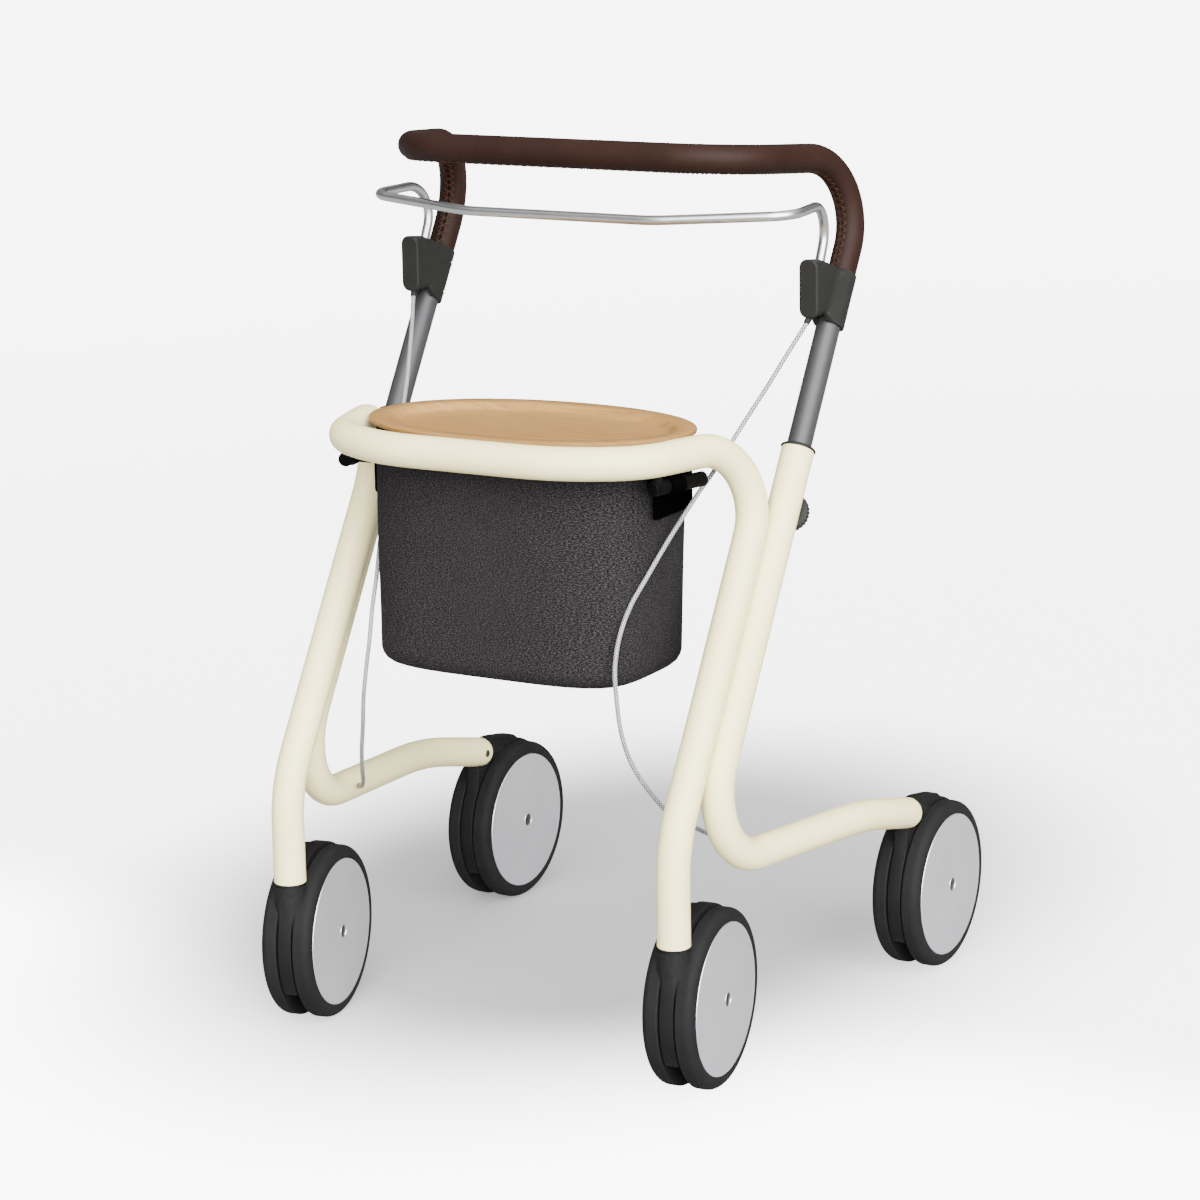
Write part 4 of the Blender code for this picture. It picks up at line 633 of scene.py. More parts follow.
def add_piece(name, bm, mat, body, replaces, sharp=35.0, worn=None):
    """Turns a bmesh into a piece that rides on a body and stands for solid nodes.

    Both angles are in degrees: above sharp an edge is shaded sharp, and at worn an edge
    counts as fully worn and carries the full painted edge highlight.
    """
    bmesh.ops.translate(bm, vec=SHIFT, verts=bm.verts)
    obj = mesh_object(name, bm)
    obj.data.materials.append(mat)
    obj.data.shade_smooth()
    obj.data.set_sharp_from_angle(angle=math.radians(sharp))
    if replaces:
        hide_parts(*replaces)
    if body:
        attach(obj, body)
    if worn:
        mark_edges(obj, math.radians(worn))
    return obj


def filleted(corners, radii):
    """The line through the corners, with an arc of its own radius at each inner corner."""
    path = [corners[0]]
    for before, corner, after, radius in zip(corners, corners[1:], corners[2:], radii):
        back = (before - corner).normalized()
        ahead = (after - corner).normalized()
        turn = math.pi - back.angle(ahead)
        start = corner + back * radius * math.tan(turn / 2)
        centre = corner + (back + ahead).normalized() * radius / math.cos(turn / 2)
        axis = (start - centre).cross(corner - centre).normalized()
        count = max(2, math.ceil(turn / FINE_BEND))
        for k in range(count + 1):
            path.append(centre + Matrix.Rotation(turn * k / count, 3, axis) @ (start - centre))
    path.append(corners[-1])
    return path


def mirrored(half):
    """From the left end to the right one; the last point, in the middle plane, is passed over."""
    return half[:-1] + [Vector((-p.x, p.y, p.z)) for p in reversed(half[:-1])]


def smooth_route(points):
    """Points about a route step apart on a smooth curve through the given ones."""
    route = []
    ends = [points[0] * 2 - points[1]] + points + [points[-1] * 2 - points[-2]]
    for a, b, c, d in zip(ends, ends[1:], ends[2:], ends[3:]):
        count = max(1, round((c - b).length / ROUTE_STEP))
        for k in range(count):
            t = k / count
            route.append(0.5 * (2 * b + (c - a) * t + (2 * a - 5 * b + 4 * c - d) * t ** 2
                                + (3 * b - a - 3 * c + d) * t ** 3))
    route.append(points[-1])
    return route


def evenly_spaced(path, step):
    """The same line with points one step apart."""
    spaced = [path[0]]
    left = step
    for a, b in zip(path, path[1:]):
        gap = (b - a).length
        while left <= gap:
            spaced.append(a.lerp(b, left / gap))
            left += step
        left -= gap
    spaced.append(path[-1])
    return spaced


def places_along(path, first_out):
    """A place for each point: local Z runs along the path, local X starts towards first_out."""
    places = []
    ahead = (path[1] - path[0]).normalized()
    out = (first_out - ahead * first_out.dot(ahead)).normalized()
    for k, point in enumerate(path):
        before = path[max(0, k - 1)]
        after = path[min(len(path) - 1, k + 1)]
        new_ahead = (after - before).normalized()
        out = ahead.rotation_difference(new_ahead) @ out
        ahead = new_ahead
        place = Matrix((out, ahead.cross(out), ahead)).transposed().to_4x4()
        place.translation = point
        places.append(place)
    return places


def full_turn(count):
    return [2 * math.pi * k / count for k in range(count)]


def polar(radius, angle):
    return radius * math.cos(angle), radius * math.sin(angle)


def arc(radius, start, turn, steps):
    """Points from a start on through a turn, both in degrees."""
    return [polar(radius, math.radians(start + turn * k / steps)) for k in range(steps + 1)]


def round_outline(radius, sides):
    return [polar(radius, angle) for angle in full_turn(sides)]


def round_cornered(half_w, half_h, radius, steps):
    """A rectangle's outline; the half sizes reach to the middles of its round corners."""
    return [(sx * half_w + x, sy * half_h + y)
            for sx, sy, start in ((1, 1, 0.0), (-1, 1, 90.0), (-1, -1, 180.0), (1, -1, 270.0))
            for x, y in arc(radius, start, 90.0, steps)]


def first_ring(bm, points):
    """A closed ring of vertices on the points, and its edges."""
    ring = bmesh.ops.create_circle(bm, segments=len(points), radius=1.0)["verts"]
    for vert, point in zip(ring, points):
        vert.co = point
    return ring, list({e for v in ring for e in v.link_edges})


def next_ring(bm, ring, edges, points):
    """Draws a ring out to new points; returns the new ring, its edges and the faces between."""
    made = bmesh.ops.extrude_edge_only(bm, edges=edges)["geom"]
    fresh = {g for g in made if isinstance(g, bmesh.types.BMVert)}
    ring = [next(e.other_vert(v) for e in v.link_edges if e.other_vert(v) in fresh) for v in ring]
    for vert, point in zip(ring, points):
        vert.co = point
    edges = [e for e in {e for v in ring for e in v.link_edges}
             if e.verts[0] in fresh and e.verts[1] in fresh]
    return ring, edges, [g for g in made if isinstance(g, bmesh.types.BMFace)]


def capped(bm, *rims):
    for rim in rims:
        bmesh.ops.contextual_create(bm, geom=rim)
    bmesh.ops.recalc_face_normals(bm, faces=bm.faces)
    return bm


def skin(rings):
    """A closed skin drawn from ring to ring, capped at both ends."""
    bm = bmesh.new()
    ring, edges = first_ring(bm, rings[0])
    first_edges = edges
    for points in rings[1:]:
        ring, edges, _ = next_ring(bm, ring, edges, points)
    return capped(bm, first_edges, edges)


def sweep(path, outline, first_out, widths=None, bm=None):
    """Carries an outline along a path. Its UV map runs along and round it, in metres."""
    bm = bm or bmesh.new()
    uv = bm.loops.layers.uv.get("UVMap") or bm.loops.layers.uv.new("UVMap")
    widths = widths or [1.0] * len(path)
    rings = [[place @ Vector((x * width, y * width, 0.0)) for x, y in outline]
             for place, width in zip(places_along(path, first_out), widths)]
    girth = [0.0]
    for a, b in zip(outline, outline[1:] + outline[:1]):
        girth.append(girth[-1] + math.dist(a, b))
    last = len(outline) - 1
    ring, edges = first_ring(bm, rings[0])
    first_edges = edges
    run = 0.0
    for k in range(1, len(path)):
        before, start = ring, run
        ring, edges, faces = next_ring(bm, ring, edges, rings[k])
        run += (path[k] - path[k - 1]).length
        spots = {v: (start, i) for i, v in enumerate(before)}
        spots.update((v, (run, i)) for i, v in enumerate(ring))
        for face in faces:
            around = [spots[corner.vert] for corner in face.loops]
            wraps = {0, last} <= {i for _, i in around}
            for corner, (reach, i) in zip(face.loops, around):
                corner[uv].uv = (reach, girth[last + 1] if wraps and i == 0 else girth[i])
    return capped(bm, first_edges, edges)


def bent_tube(line, radius, edge, sides, first_out):
    """A round bar along a line, both its ends drawn in by a small chamfer."""
    head = line[0] + (line[1] - line[0]).normalized() * edge
    tail = line[-1] + (line[-2] - line[-1]).normalized() * edge
    drawn_in = 1.0 - edge / radius
    line = [line[0], head] + line[1:-1] + [tail, line[-1]]
    widths = [drawn_in] + [1.0] * (len(line) - 2) + [drawn_in]
    return sweep(line, round_outline(radius, sides), first_out, widths)


def domed_tube(line, radius, first_out):
    """A round bar along a line, with a dome at its last end."""
    end = line[-1]
    ahead = (end - line[-2]).normalized()
    angles = [DOME_STEP * k for k in range(1, DOME_STEPS + 1)]
    widths = [1.0] * len(line) + [math.cos(a) for a in angles]
    line = line + [end + ahead * radius * math.sin(a) for a in angles]
    return sweep(line, round_outline(radius, TUBE_SIDES), first_out, widths)


def turned(profile, steps, closed=False):
    """A profile spun a full turn about local Z."""
    bm = bmesh.new()
    verts = [bm.verts.new((r, 0.0, h)) for r, h in profile]
    edges = [bm.edges.new(pair) for pair in zip(verts, verts[1:])]
    if closed:
        edges.append(bm.edges.new((verts[-1], verts[0])))
    bmesh.ops.spin(bm, geom=verts + edges, cent=(0, 0, 0), axis=(0, 0, 1), angle=2 * math.pi,
                   steps=steps, use_merge=True, use_duplicate=False)
    bmesh.ops.remove_doubles(bm, verts=bm.verts, dist=1e-6)
    bmesh.ops.recalc_face_normals(bm, faces=bm.faces)
    return bm


def rounded(corners, radius, count=2, closed=False):
    """A profile with its corners rounded; the ends of an open one stay."""
    points = []
    total = len(corners)
    for k, corner in enumerate(corners):
        if not closed and k in (0, total - 1):
            points.append(corner)
            continue
        here = Vector(corner)
        back = Vector(corners[k - 1]) - here
        ahead = Vector(corners[(k + 1) % total]) - here
        reach = min(radius, back.length * 0.45, ahead.length * 0.45)
        a = here + back.normalized() * reach
        b = here + ahead.normalized() * reach
        for j in range(count + 1):
            t = j / count
            points.append(tuple((1 - t) ** 2 * a + 2 * t * (1 - t) * here + t ** 2 * b))
    return points


def turned_ring(profile, edge, steps, count=2):
    """A closed profile, its corners rounded, as a ring about local Z."""
    return turned(rounded(profile, edge, count, closed=True), steps, closed=True)


def put(bm, place):
    bmesh.ops.transform(bm, matrix=place, verts=bm.verts)
    return bm


def along(direction, origin):
    """A place whose local Z points along the direction."""
    turn = Vector((0, 0, 1)).rotation_difference(direction).to_matrix().to_4x4()
    return Matrix.Translation(origin) @ turn


def raised(height):
    return Matrix.Translation((0, 0, height))


def rod(radius, length, place, sides=48, end_radius=None):
    """A plain round bar on local Z, centred on its place, to cut or to join."""
    bm = bmesh.new()
    bmesh.ops.create_cone(bm, cap_ends=True, segments=sides, radius1=radius,
                          radius2=end_radius or radius, depth=length)
    return put(bm, place)


def block(size, place):
    bm = bmesh.new()
    bmesh.ops.create_cube(bm, size=1.0, matrix=place @ Matrix.Diagonal((*size, 1.0)))
    return bm


def soften(bm, edges, amount, segments):
    bmesh.ops.bevel(bm, geom=edges, offset=amount, offset_type="OFFSET", segments=segments,
                    profile=0.5, affect="EDGES", material=-1)


def thickened(bm, depth, edge, segments):
    """A flat face drawn out by a depth into a plate with soft rims."""
    made = bmesh.ops.extrude_face_region(bm, geom=list(bm.faces))["geom"]
    far = [g for g in made if isinstance(g, bmesh.types.BMVert)]
    bmesh.ops.translate(bm, vec=depth, verts=far)
    bmesh.ops.recalc_face_normals(bm, faces=bm.faces)
    rims = [e for e in bm.edges if abs((e.verts[0].co - e.verts[1].co).dot(depth)) < 1e-9]
    soften(bm, rims, edge, segments)
    return bm


def with_modifiers(bm, setups):
    """The mesh after modifiers, given as (type, settings); a bmesh among them is a cutting tool."""
    obj = mesh_object("work", bm)
    spares = [obj]
    for kind, settings in setups:
        mod = obj.modifiers.new(kind, kind)
        for key, value in settings.items():
            if isinstance(value, bmesh.types.BMesh):
                value = mesh_object("tool", value)
                spares.append(value)
            setattr(mod, key, value)
    graph = bpy.context.evaluated_depsgraph_get()
    graph.update()
    made = bmesh.new()
    made.from_mesh(bpy.data.meshes.new_from_object(obj.evaluated_get(graph)))
    for spare in spares:
        bpy.data.objects.remove(spare, do_unlink=True)
    return made


def combined(operation, *tools):
    return [("BOOLEAN", {"operation": operation, "solver": "EXACT", "object": t}) for t in tools]


def cut_by(*tools):
    return combined("DIFFERENCE", *tools)


def joined_with(*tools):
    return combined("UNION", *tools)


# Lines that several pieces share

STEM_DIR = Vector((0, LEAN, 1)).normalized()
STEM_BACK = Vector((0, 1, -LEAN)).normalized()
BRAKE_DIR = Vector((0, BRAKE_LEAN, 1)).normalized()
STEM_X = LEG_X + REAR_STEP_X
STEM_STEP_Y = math.sqrt(TUBE_PITCH ** 2 - REAR_STEP_X ** 2) * math.sqrt(1 + LEAN ** 2)
ACROSS, FORWARD = Vector((1, 0, 0)), Vector((0, -1, 0))


def between(first, last, share):
    return first + (last - first) * share


def at_side(point, side):
    return Vector((point[0] * side, point[1], point[2]))


def leg_line(z):
    return LEG_Y + (z - LEG_BEND_Z) * LEAN


def stem_point(z, side=1):
    return Vector((STEM_X * side, leg_line(z) + STEM_STEP_Y, z))


def riser_point(z, side=1):
    return Vector((BRAKE_X * side, BRAKE_Y + (z - BRAKE_Z) * BRAKE_LEAN, z))


def on_stem(z, side):
    return along(STEM_DIR, stem_point(z, side))


def inner_back(turn, z, side, out=0.0):
    """A place on the stem that looks back, turned towards the middle."""
    direction = STEM_BACK * math.cos(turn) + Vector((-side, 0, 0)) * math.sin(turn)
    return along(direction, stem_point(z, side) + direction * out)


def tail_run(side):
    return (at_side(TAIL, side) - at_side(RUN_BEND, side)).normalized()


def cable_points(side):
    """The cable's route, and which way it leaves the housing."""
    points = [at_side(p, side) for p in CABLE_ROUTE]
    return points, (points[1] - points[0]).normalized()


def handle_line(low_z):
    corners = [stem_point(low_z), stem_point(HANDLE_BEND_Z), Vector(HANDLE_FRONT),
               Vector((0, HANDLE_FRONT[1], HANDLE_FRONT[2]))]
    return mirrored(filleted(corners, (HANDLE_BEND_R, HANDLE_FRONT_R)))


# Frame tubes

def make_front_frame():
    corners = [
        Vector((LEG_X, LEG_Y, LEG_END_Z)), Vector((LEG_X, LEG_Y, LEG_BEND_Z)),
        Vector((LEG_X, leg_line(BAR_Z), BAR_Z)), Vector((*SIDE_FRONT, BAR_Z)),
        Vector((*BAR_BEND, BAR_Z)), Vector((0, BAR_BEND[1], BAR_Z)),
    ]
    line = mirrored(filleted(corners, (LEG_BEND_R, CORNER_R, SIDE_FRONT_R, BAR_BEND_R)))
    bm = bent_tube(line, TUBE_R, TUBE_EDGE, TUBE_SIDES, ACROSS)
    add_piece("front_frame_tube", bm, CREAM, "frame", ["front_frame"])
    for side, label in SIDES.items():
        ring = put(turned_ring(LEG_RING, RING_EDGE, TUBE_SIDES),
                   Matrix.Translation((LEG_X * side, LEG_Y, LEG_RING_Z)))
        add_piece("leg_end_ring_" + label, ring, HIDDEN, "frame", ())


def make_rear_tube(side, label):
    """A bent tube, open at its mouth, where the cable goes in and under its screw."""
    name = "rear_tube_" + label
    corners = [stem_point(REAR_TOP_Z, side), stem_point(FOOT_BEND_Z, side),
               at_side(RUN_BEND, side), at_side(TAIL, side)]
    line = filleted(corners, (FOOT_BEND_R, RUN_BEND_R))
    points, _ = cable_points(side)
    into = (points[CABLE_HOLE_AT + 1] - points[CABLE_HOLE_AT - 1]).normalized()
    hole = rod(CABLE_HOLE_R, CABLE_HOLE_L, along(into, points[CABLE_HOLE_AT] - into * CABLE_HOLE_OUT), 24)
    sink = rod(TAIL_SINK_R, SINK_L, screw_seat(side) @ raised(SINK_AT), 32)
    mouth = rod(TUBE_R - TUBE_WALL, MOUTH_L, on_stem(REAR_TOP_Z, side))
    bm = with_modifiers(domed_tube(line, TUBE_R, ACROSS * side), cut_by(hole, sink, mouth))
    add_piece(name + "_lacquered", bm, CREAM, "frame", [name])


def screw_seat(side):
    """Where the screw sits on the inner face of the rear tube's end."""
    inward = Vector((-side, 0, 0))
    return along(inward, at_side(TAIL, side) - tail_run(side) * TAIL_SCREW_IN + inward * TUBE_R)


def socket_screw(head_r, socket_r, rise, depth):
    """A low screw head with a six-sided socket, on local Z, its rim at zero height."""
    inner_r = socket_r * 1.25
    bm = turned(rounded([(inner_r, rise), (head_r * 0.86, rise), (head_r, rise * 0.3),
                         (head_r, -depth)], SCREW_EDGE), 36)
    inner = [e for e in bm.edges if e.is_boundary
             and all(abs(v.co.xy.length - inner_r) < 1e-5 for v in e.verts)]
    hexagon = bmesh.ops.create_circle(bm, segments=6, radius=socket_r)["verts"]
    bmesh.ops.translate(bm, vec=(0, 0, rise - SOCKET_DIP), verts=hexagon)
    hex_edges = list({e for v in hexagon for e in v.link_edges})
    bmesh.ops.bridge_loops(bm, edges=inner + hex_edges)
    deep = bmesh.ops.extrude_edge_only(bm, edges=hex_edges)["geom"]
    low = [g for g in deep if isinstance(g, bmesh.types.BMVert)]
    bmesh.ops.translate(bm, vec=(0, 0, -SOCKET_SHARE * (rise + depth)), verts=low)
    low_edges = [g for g in deep if isinstance(g, bmesh.types.BMEdge)
                 and all(v in low for v in g.verts)]
    bmesh.ops.contextual_create(bm, geom=low_edges)
    bmesh.ops.holes_fill(bm, edges=[e for e in bm.edges if e.is_boundary], sides=0)
    bmesh.ops.recalc_face_normals(bm, faces=bm.faces)
    return bm


def add_screw(name, sizes, place, mat, body, replaces):
    add_piece(name, put(socket_screw(*sizes), place), mat, body, replaces, 25.0)


def make_frame_fittings(side, label):
    add_screw("tail_screw_" + label, TAIL_SCREW, screw_seat(side), DARK_SCREW, "frame",
              ["rear_tube_screw_" + label])
    rim = put(turned_ring(STEM_RIM, RIM_EDGE, 64, 3), on_stem(REAR_TOP_Z, side))
    add_piece("stem_rim_" + label, rim, OLIVE, "frame", ["stem_collar_" + label],
              worn=40.0)


# Handle, leather and brake bar

def make_handle_tube():
    bm = bent_tube(handle_line(STEM_END_Z), STEM_R, TUBE_EDGE, 36, FORWARD)
    add_piece("handle_tube", bm, STEM_METAL, "handle", ["handlebar_tube"])


def bell(off, width, power=2):
    return math.exp(-((off / width) ** power))


def seam_angles():
    """Angles round the sleeve, closer together at the seam, which is at angle 0."""
    last = SEAM_ANGLES[-1]
    half = list(SEAM_ANGLES) + [last + (math.pi - last) * k / 15 for k in range(1, 16)]
    return half + [-a for a in reversed(half[1:-1])]


def leather_radius(angle):
    """The sleeve's radius: a groove at the seam, and edges that lift a little beside it."""
    lip = SEAM_LIP * bell(abs(angle) - SEAM_LIP_AT, SEAM_LIP_W)
    return LEATHER_R - SEAM_DEPTH * bell(angle, SEAM_W) + lip


def make_leather():
    """The sleeve is butted along the inside of the bends and drawn together by cross-stitches."""
    line = evenly_spaced(handle_line(LEATHER_END_Z), LEATHER_STEP)
    under = Vector((-math.sin(SEAM_TURN), -math.cos(SEAM_TURN), 0))
    angles = seam_angles()
    outline = [polar(leather_radius(a), a) for a in angles]
    sleeve = add_piece("leather_sleeve", sweep(line, outline, under), HIDE, "handle",
                       ["leather_grip"], 60.0)
    rows = len(sleeve.data.vertices) // len(angles)
    # The seam mask marks where the groove's painted shade is laid
    store(sleeve, "seam", [bell(a, SEAM_SHADE_W) for a in angles] * rows)
    store(sleeve, "strip", [bell(a, STRIP_W, 6) for a in angles] * rows)
    places = places_along(line, under)
    stitches = bmesh.new()
    for start in range(1, len(line) - STITCH_STEPS - 1, STITCH_STEPS):
        for sign in (1, -1):
            path = stitch_path(places, start, sign)
            sweep(path, round_outline(THREAD_R, 6), path[STITCH_STEPS] - line[start + 1],
                  bm=stitches)
    add_piece("leather_cross_stitches", stitches, THREAD, "handle", (), 60.0)


def stitch_path(places, start, sign):
    """One arm of a cross, laid over the seam; one arm lies on the other."""
    path = []
    for k in range(STITCH_STEPS * 2 + 1):
        t = k / (STITCH_STEPS * 2)
        angle = sign * STITCH_REACH * (2 * t - 1)
        lift = THREAD_LIFT * (1 + sign) if 0 < t < 1 else -THREAD_SUNK
        radius = leather_radius(angle * 1.6) + THREAD_R * 0.55 + lift
        local = Vector((*polar(radius, angle), 0.0))
        low = start + k // 2
        path.append((places[low] @ local).lerp(places[low + 1] @ local, 0.5 * (k % 2)))
    return path


def make_brake_bar():
    corners = [riser_point(BRAKE_END_Z), riser_point(BRAKE_TOP_Z), Vector(BRAKE_SIDE),
               Vector(BRAKE_FRONT), Vector((0, BRAKE_FRONT[1], BRAKE_FRONT[2]))]
    line = mirrored(filleted(corners, (BRAKE_TOP_R, BRAKE_SIDE_R, BRAKE_FRONT_R)))
    bm = bent_tube(line, BRAKE_R, BRAKE_EDGE, 28, FORWARD)
    add_piece("brake_bar_rod", bm, SATIN, "brake", ["brake_bar"])


# Brake housings, cables and clamp knobs

def hull(points):
    """The skin drawn tight round the points."""
    bm = bmesh.new()
    for point in points:
        bm.verts.new(point)
    made = bmesh.ops.convex_hull(bm, input=bm.verts)
    spare = [g for g in made["geom_interior"] if isinstance(g, bmesh.types.BMVert)]
    bmesh.ops.delete(bm, geom=spare, context="VERTS")
    return bm


def lug_points(side):
    """The upright lug, outline after outline from front to back; its top slopes down."""
    middle = (LUG_LOW_Z + LUG_HIGH_Z) / 2
    half_w = LUG_W / 2 - LUG_CORNER
    half_h = (LUG_HIGH_Z - LUG_LOW_Z) / 2 - LUG_CORNER
    return [((LUG_X + x) * side, LUG_FRONT_Y + back, middle + up - (drop if up > 0 else 0.0))
            for back, inset, drop in LUG_STATIONS
            for x, up in round_cornered(half_w, half_h, LUG_CORNER - inset, 8)]


def housing_form(side):
    """The lug and the sleeve on the stem, run into each other by hollow cheeks."""
    rings = []
    for z, inset in ((HOUSING_LOW_Z, HOUSING_EDGE), (HOUSING_LOW_Z + HOUSING_EDGE, 0.0),
                     (HOUSING_HIGH_Z - HOUSING_EDGE, 0.0), (HOUSING_HIGH_Z, HOUSING_EDGE)):
        rings += [on_stem(z, side) @ Vector((x, y, 0))
                  for x, y in round_outline(HOUSING_R - inset, 64)]
    cheeks = [Vector(((LUG_X + x) * side, stem_point(z).y - CHEEK_REACH, z))
              for z in (CHEEK_LOW, CHEEK_HIGH) for x in (-LUG_W / 2, LUG_W / 2)]
    bm = with_modifiers(hull(lug_points(side)), joined_with(hull(rings), hull(rings + cheeks)) + [
        ("REMESH", {"mode": "VOXEL", "voxel_size": VOXEL}),
        ("SMOOTH", {"iterations": 2, "factor": 0.5}),
    ])
    hollow = [v for v in bm.verts if abs(v.co.x * side - LUG_X) > HOLLOW_W
              and abs(v.co.y - stem_point(v.co.z).y + CHEEK_REACH) < HOLLOW_REACH
              and HOLLOW_LOW < v.co.z < HOLLOW_HIGH]
    for _ in range(HOLLOW_ROUNDS):
        bmesh.ops.smooth_vert(bm, verts=hollow, factor=0.5, use_axis_x=True, use_axis_y=True,
                              use_axis_z=True)
    return bm


def make_housing(side, label):
    """Bored for the stem, the leather's end, the cable, the brake bar and its travel."""
    points, down = cable_points(side)
    screw_places = {word: inner_back(SCREW_TURN, level, side, HOUSING_R)
                    for word, level in SCREW_LEVELS.items()}
    tools = [
        rod(STEM_R + PLAY, STEM_BORE_L, on_stem(STEM_BORE_Z, side)),
        rod(LEATHER_R + SEAT_PLAY, GRIP_SEAT_L,
            on_stem(LEATHER_END_Z, side) @ raised(GRIP_SEAT_L / 2)),
        rod(CABLE_EXIT_R, CABLE_EXIT_L, along(down, points[0] + down * CABLE_EXIT_AT), 24),
        block(UNDERCUT, along(STEM_DIR, Vector((LUG_X * side, *UNDERCUT_YZ)))),
        rod(BRAKE_R + PLAY, BAR_BORE_L, along(BRAKE_DIR, riser_point(LUG_HIGH_Z, side)), 24),
        rod(BRAKE_TRAVEL_R, BRAKE_TRAVEL_L,
            along(BRAKE_DIR, riser_point(BRAKE_END_Z, side) - BRAKE_DIR * BRAKE_TRAVEL_LOW), 24),
    ]
    tools += [rod(HOUSING_SINK_R, SCREW_SINK_L, place, 24) for place in screw_places.values()]
    bm = with_modifiers(housing_form(side), cut_by(*tools))
    add_piece("brake_housing_moulding_" + label, bm, OLIVE, "handle", ["brake_housing_" + label],
              40.0, worn=30.0)
    for word, place in screw_places.items():
        add_screw("housing_screw_head_%s_%s" % (label, word), HOUSING_SCREW,
                  place @ raised(-SCREW_SUNK), SCREW_METAL, "handle",
                  ["housing_screw_%s_%s" % (label, word)])


def make_cable(side, label):
    """A braided sleeve from the housing to the hole in the rear tube."""
    points, down = cable_points(side)
    bm = sweep(smooth_route(points), round_outline(CABLE_R, 20), ACROSS * side)
    obj = add_piece("brake_cable_braid_" + label, bm, SLEEVE, None, ["brake_cable_" + label],
                    50.0)
    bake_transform(obj)
    ferrule = put(turned_ring(FERRULE, FERRULE_EDGE, 28), along(-down, points[0] + down * FERRULE_AT))
    add_piece("cable_ferrule_" + label, ferrule, OLIVE, "handle", ())


def make_knob(side, label):
    """A toothed hand wheel with a dished face."""
    foot = TUBE_R + PLAY
    face = foot + KNOB_H
    rows = (              # (radius, height, how deep its teeth are)
        (0.003, STEM_R + 0.0004, 0.0), (0.003, foot, 0.0), (0.012, foot, 0.0),
        (KNOB_R - 0.0016, foot + 0.0012, 0.3), (KNOB_R, foot + 0.0028, 1.0),
        (KNOB_R, face - 0.0030, 1.0), (KNOB_R - 0.0012, face - 0.0012, 0.7),
        (KNOB_R - 0.0035, face, 0.0), (KNOB_R - 0.0065, face, 0.0),
        (KNOB_R - 0.0085, face - 0.0014, 0.0), (0.0015, face - 0.0018, 0.0),
    )
    rings = []
    for radius, height, tooth in rows:
        ring = []
        for angle in full_turn(KNOB_TEETH * 8):
            wave = 0.5 - 0.5 * math.cos(KNOB_TEETH * angle)
            r = radius - KNOB_NOTCH * tooth * wave ** 2
            ring.append(Vector((*polar(r, angle), height)))
        rings.append(ring)
    bm = put(skin(rings), inner_back(KNOB_TURN, KNOB_Z, side))
    add_piece("clamp_wheel_" + label, bm, OLIVE, "knob_" + label, ["clamp_knob_" + label],
              40.0, worn=40.0)


# Wheels and carriers

def swivel_place(side):
    return (Matrix.Translation((LEG_X * side, LEG_Y, 0))
            @ Matrix.Rotation(CASTER_TURN[side], 4, "Z"))


def unit_place(end, side):
    """The middle of a unit's axle, turned as the unit stands."""
    if end == "rear":
        return Matrix.Translation((REAR_WHEEL_X * side, REAR_AXLE_Y, WHEEL_R))
    return swivel_place(side) @ Matrix.Translation((0, TRAIL, WHEEL_R))


def facing_out(place, out):
    """A unit's place turned so that local Z points out to one side."""
    return place @ Matrix.Rotation(math.pi / 2 * out, 4, "Y")


def wheel_profile():
    """The section of one wheel; its height is the distance from the unit's middle."""
    disc_edge = DISC_R + 0.0004
    corners = [(disc_edge, DISC_SEAT), (disc_edge, FACE - 0.0005), (DISC_R + 0.0014, FACE)]
    corners += [(WHEEL_R - SHOULDER_R + y, FACE - SHOULDER_R + x)
                for x, y in arc(SHOULDER_R, 8, 82, 8)]
    corners += [(WHEEL_R - TREAD_R + x, HALF_GAP + TREAD_R - y) for x, y in arc(TREAD_R, 0, 90, 6)]
    return corners + [
        (WEB_R + 0.001, HALF_GAP), (WEB_R, HALF_GAP + 0.0030), (HUB_R, HALF_GAP + 0.0030),
        (HUB_R - 0.001, HALF_GAP), (WHEEL_BORE_R, HALF_GAP), (WHEEL_BORE_R, DISC_SEAT),
    ]


def make_wheels(end, side, side_label):
    for label, out in (("outer", side), ("inner", -side)):
        word = "%s_%s_%s" % (end, side_label, label)
        place = facing_out(unit_place(end, side), out)
        body = "rolling_" + word
        tyre = put(turned_ring(wheel_profile(), TYRE_EDGE, WHEEL_SIDES, 3), place)
        add_piece("tyre_" + word, tyre, RUBBER, body, ["wheel_" + word], 40.0,
                  worn=25.0)
        add_cover(word, place, body)


def add_cover(word, place, body):
    """The metal cover: a shallow dome with a thin bright rim, and its countersunk screw."""
    corners = [(CUP_R, CROWN - CUP_DEPTH), (CUP_R, CROWN - 0.0002), (CUP_R + 0.0003, CROWN)]
    for k in range(1, 9):
        r = between(CUP_R, DISC_R - 0.0014, k / 8)
        corners.append((r, between(DISC_RIM, CROWN, 1 - (r / DISC_R) ** 2)))
    corners += [(DISC_R - 0.0009, DISC_RIM + 0.0003), (DISC_R - 0.0003, DISC_RIM + 0.0002),
                (DISC_R, DISC_RIM - 0.0003), (DISC_R, DISC_LOW), (CUP_R, DISC_LOW)]
    bm = turned(corners, WHEEL_SIDES, closed=True)
    uv = bm.loops.layers.uv.new("UVMap")
    for face in bm.faces:
        for corner in face.loops:
            corner[uv].uv = corner.vert.co.xy
    add_piece("cover_" + word, put(bm, place), COVER, body, ["wheel_disc_" + word],
              25.0)
    cup = put(turned_ring(CUP_LIP, LIP_EDGE, 40), place @ raised(CROWN - CUP_DEPTH))
    add_piece("cover_cup_" + word, cup, POLISHED, body, (), 50.0)
    add_screw("cover_screw_" + word, COVER_SCREW, place @ raised(CROWN - CUP_SCREW_DEPTH),
              DARK_SCREW, body, ())


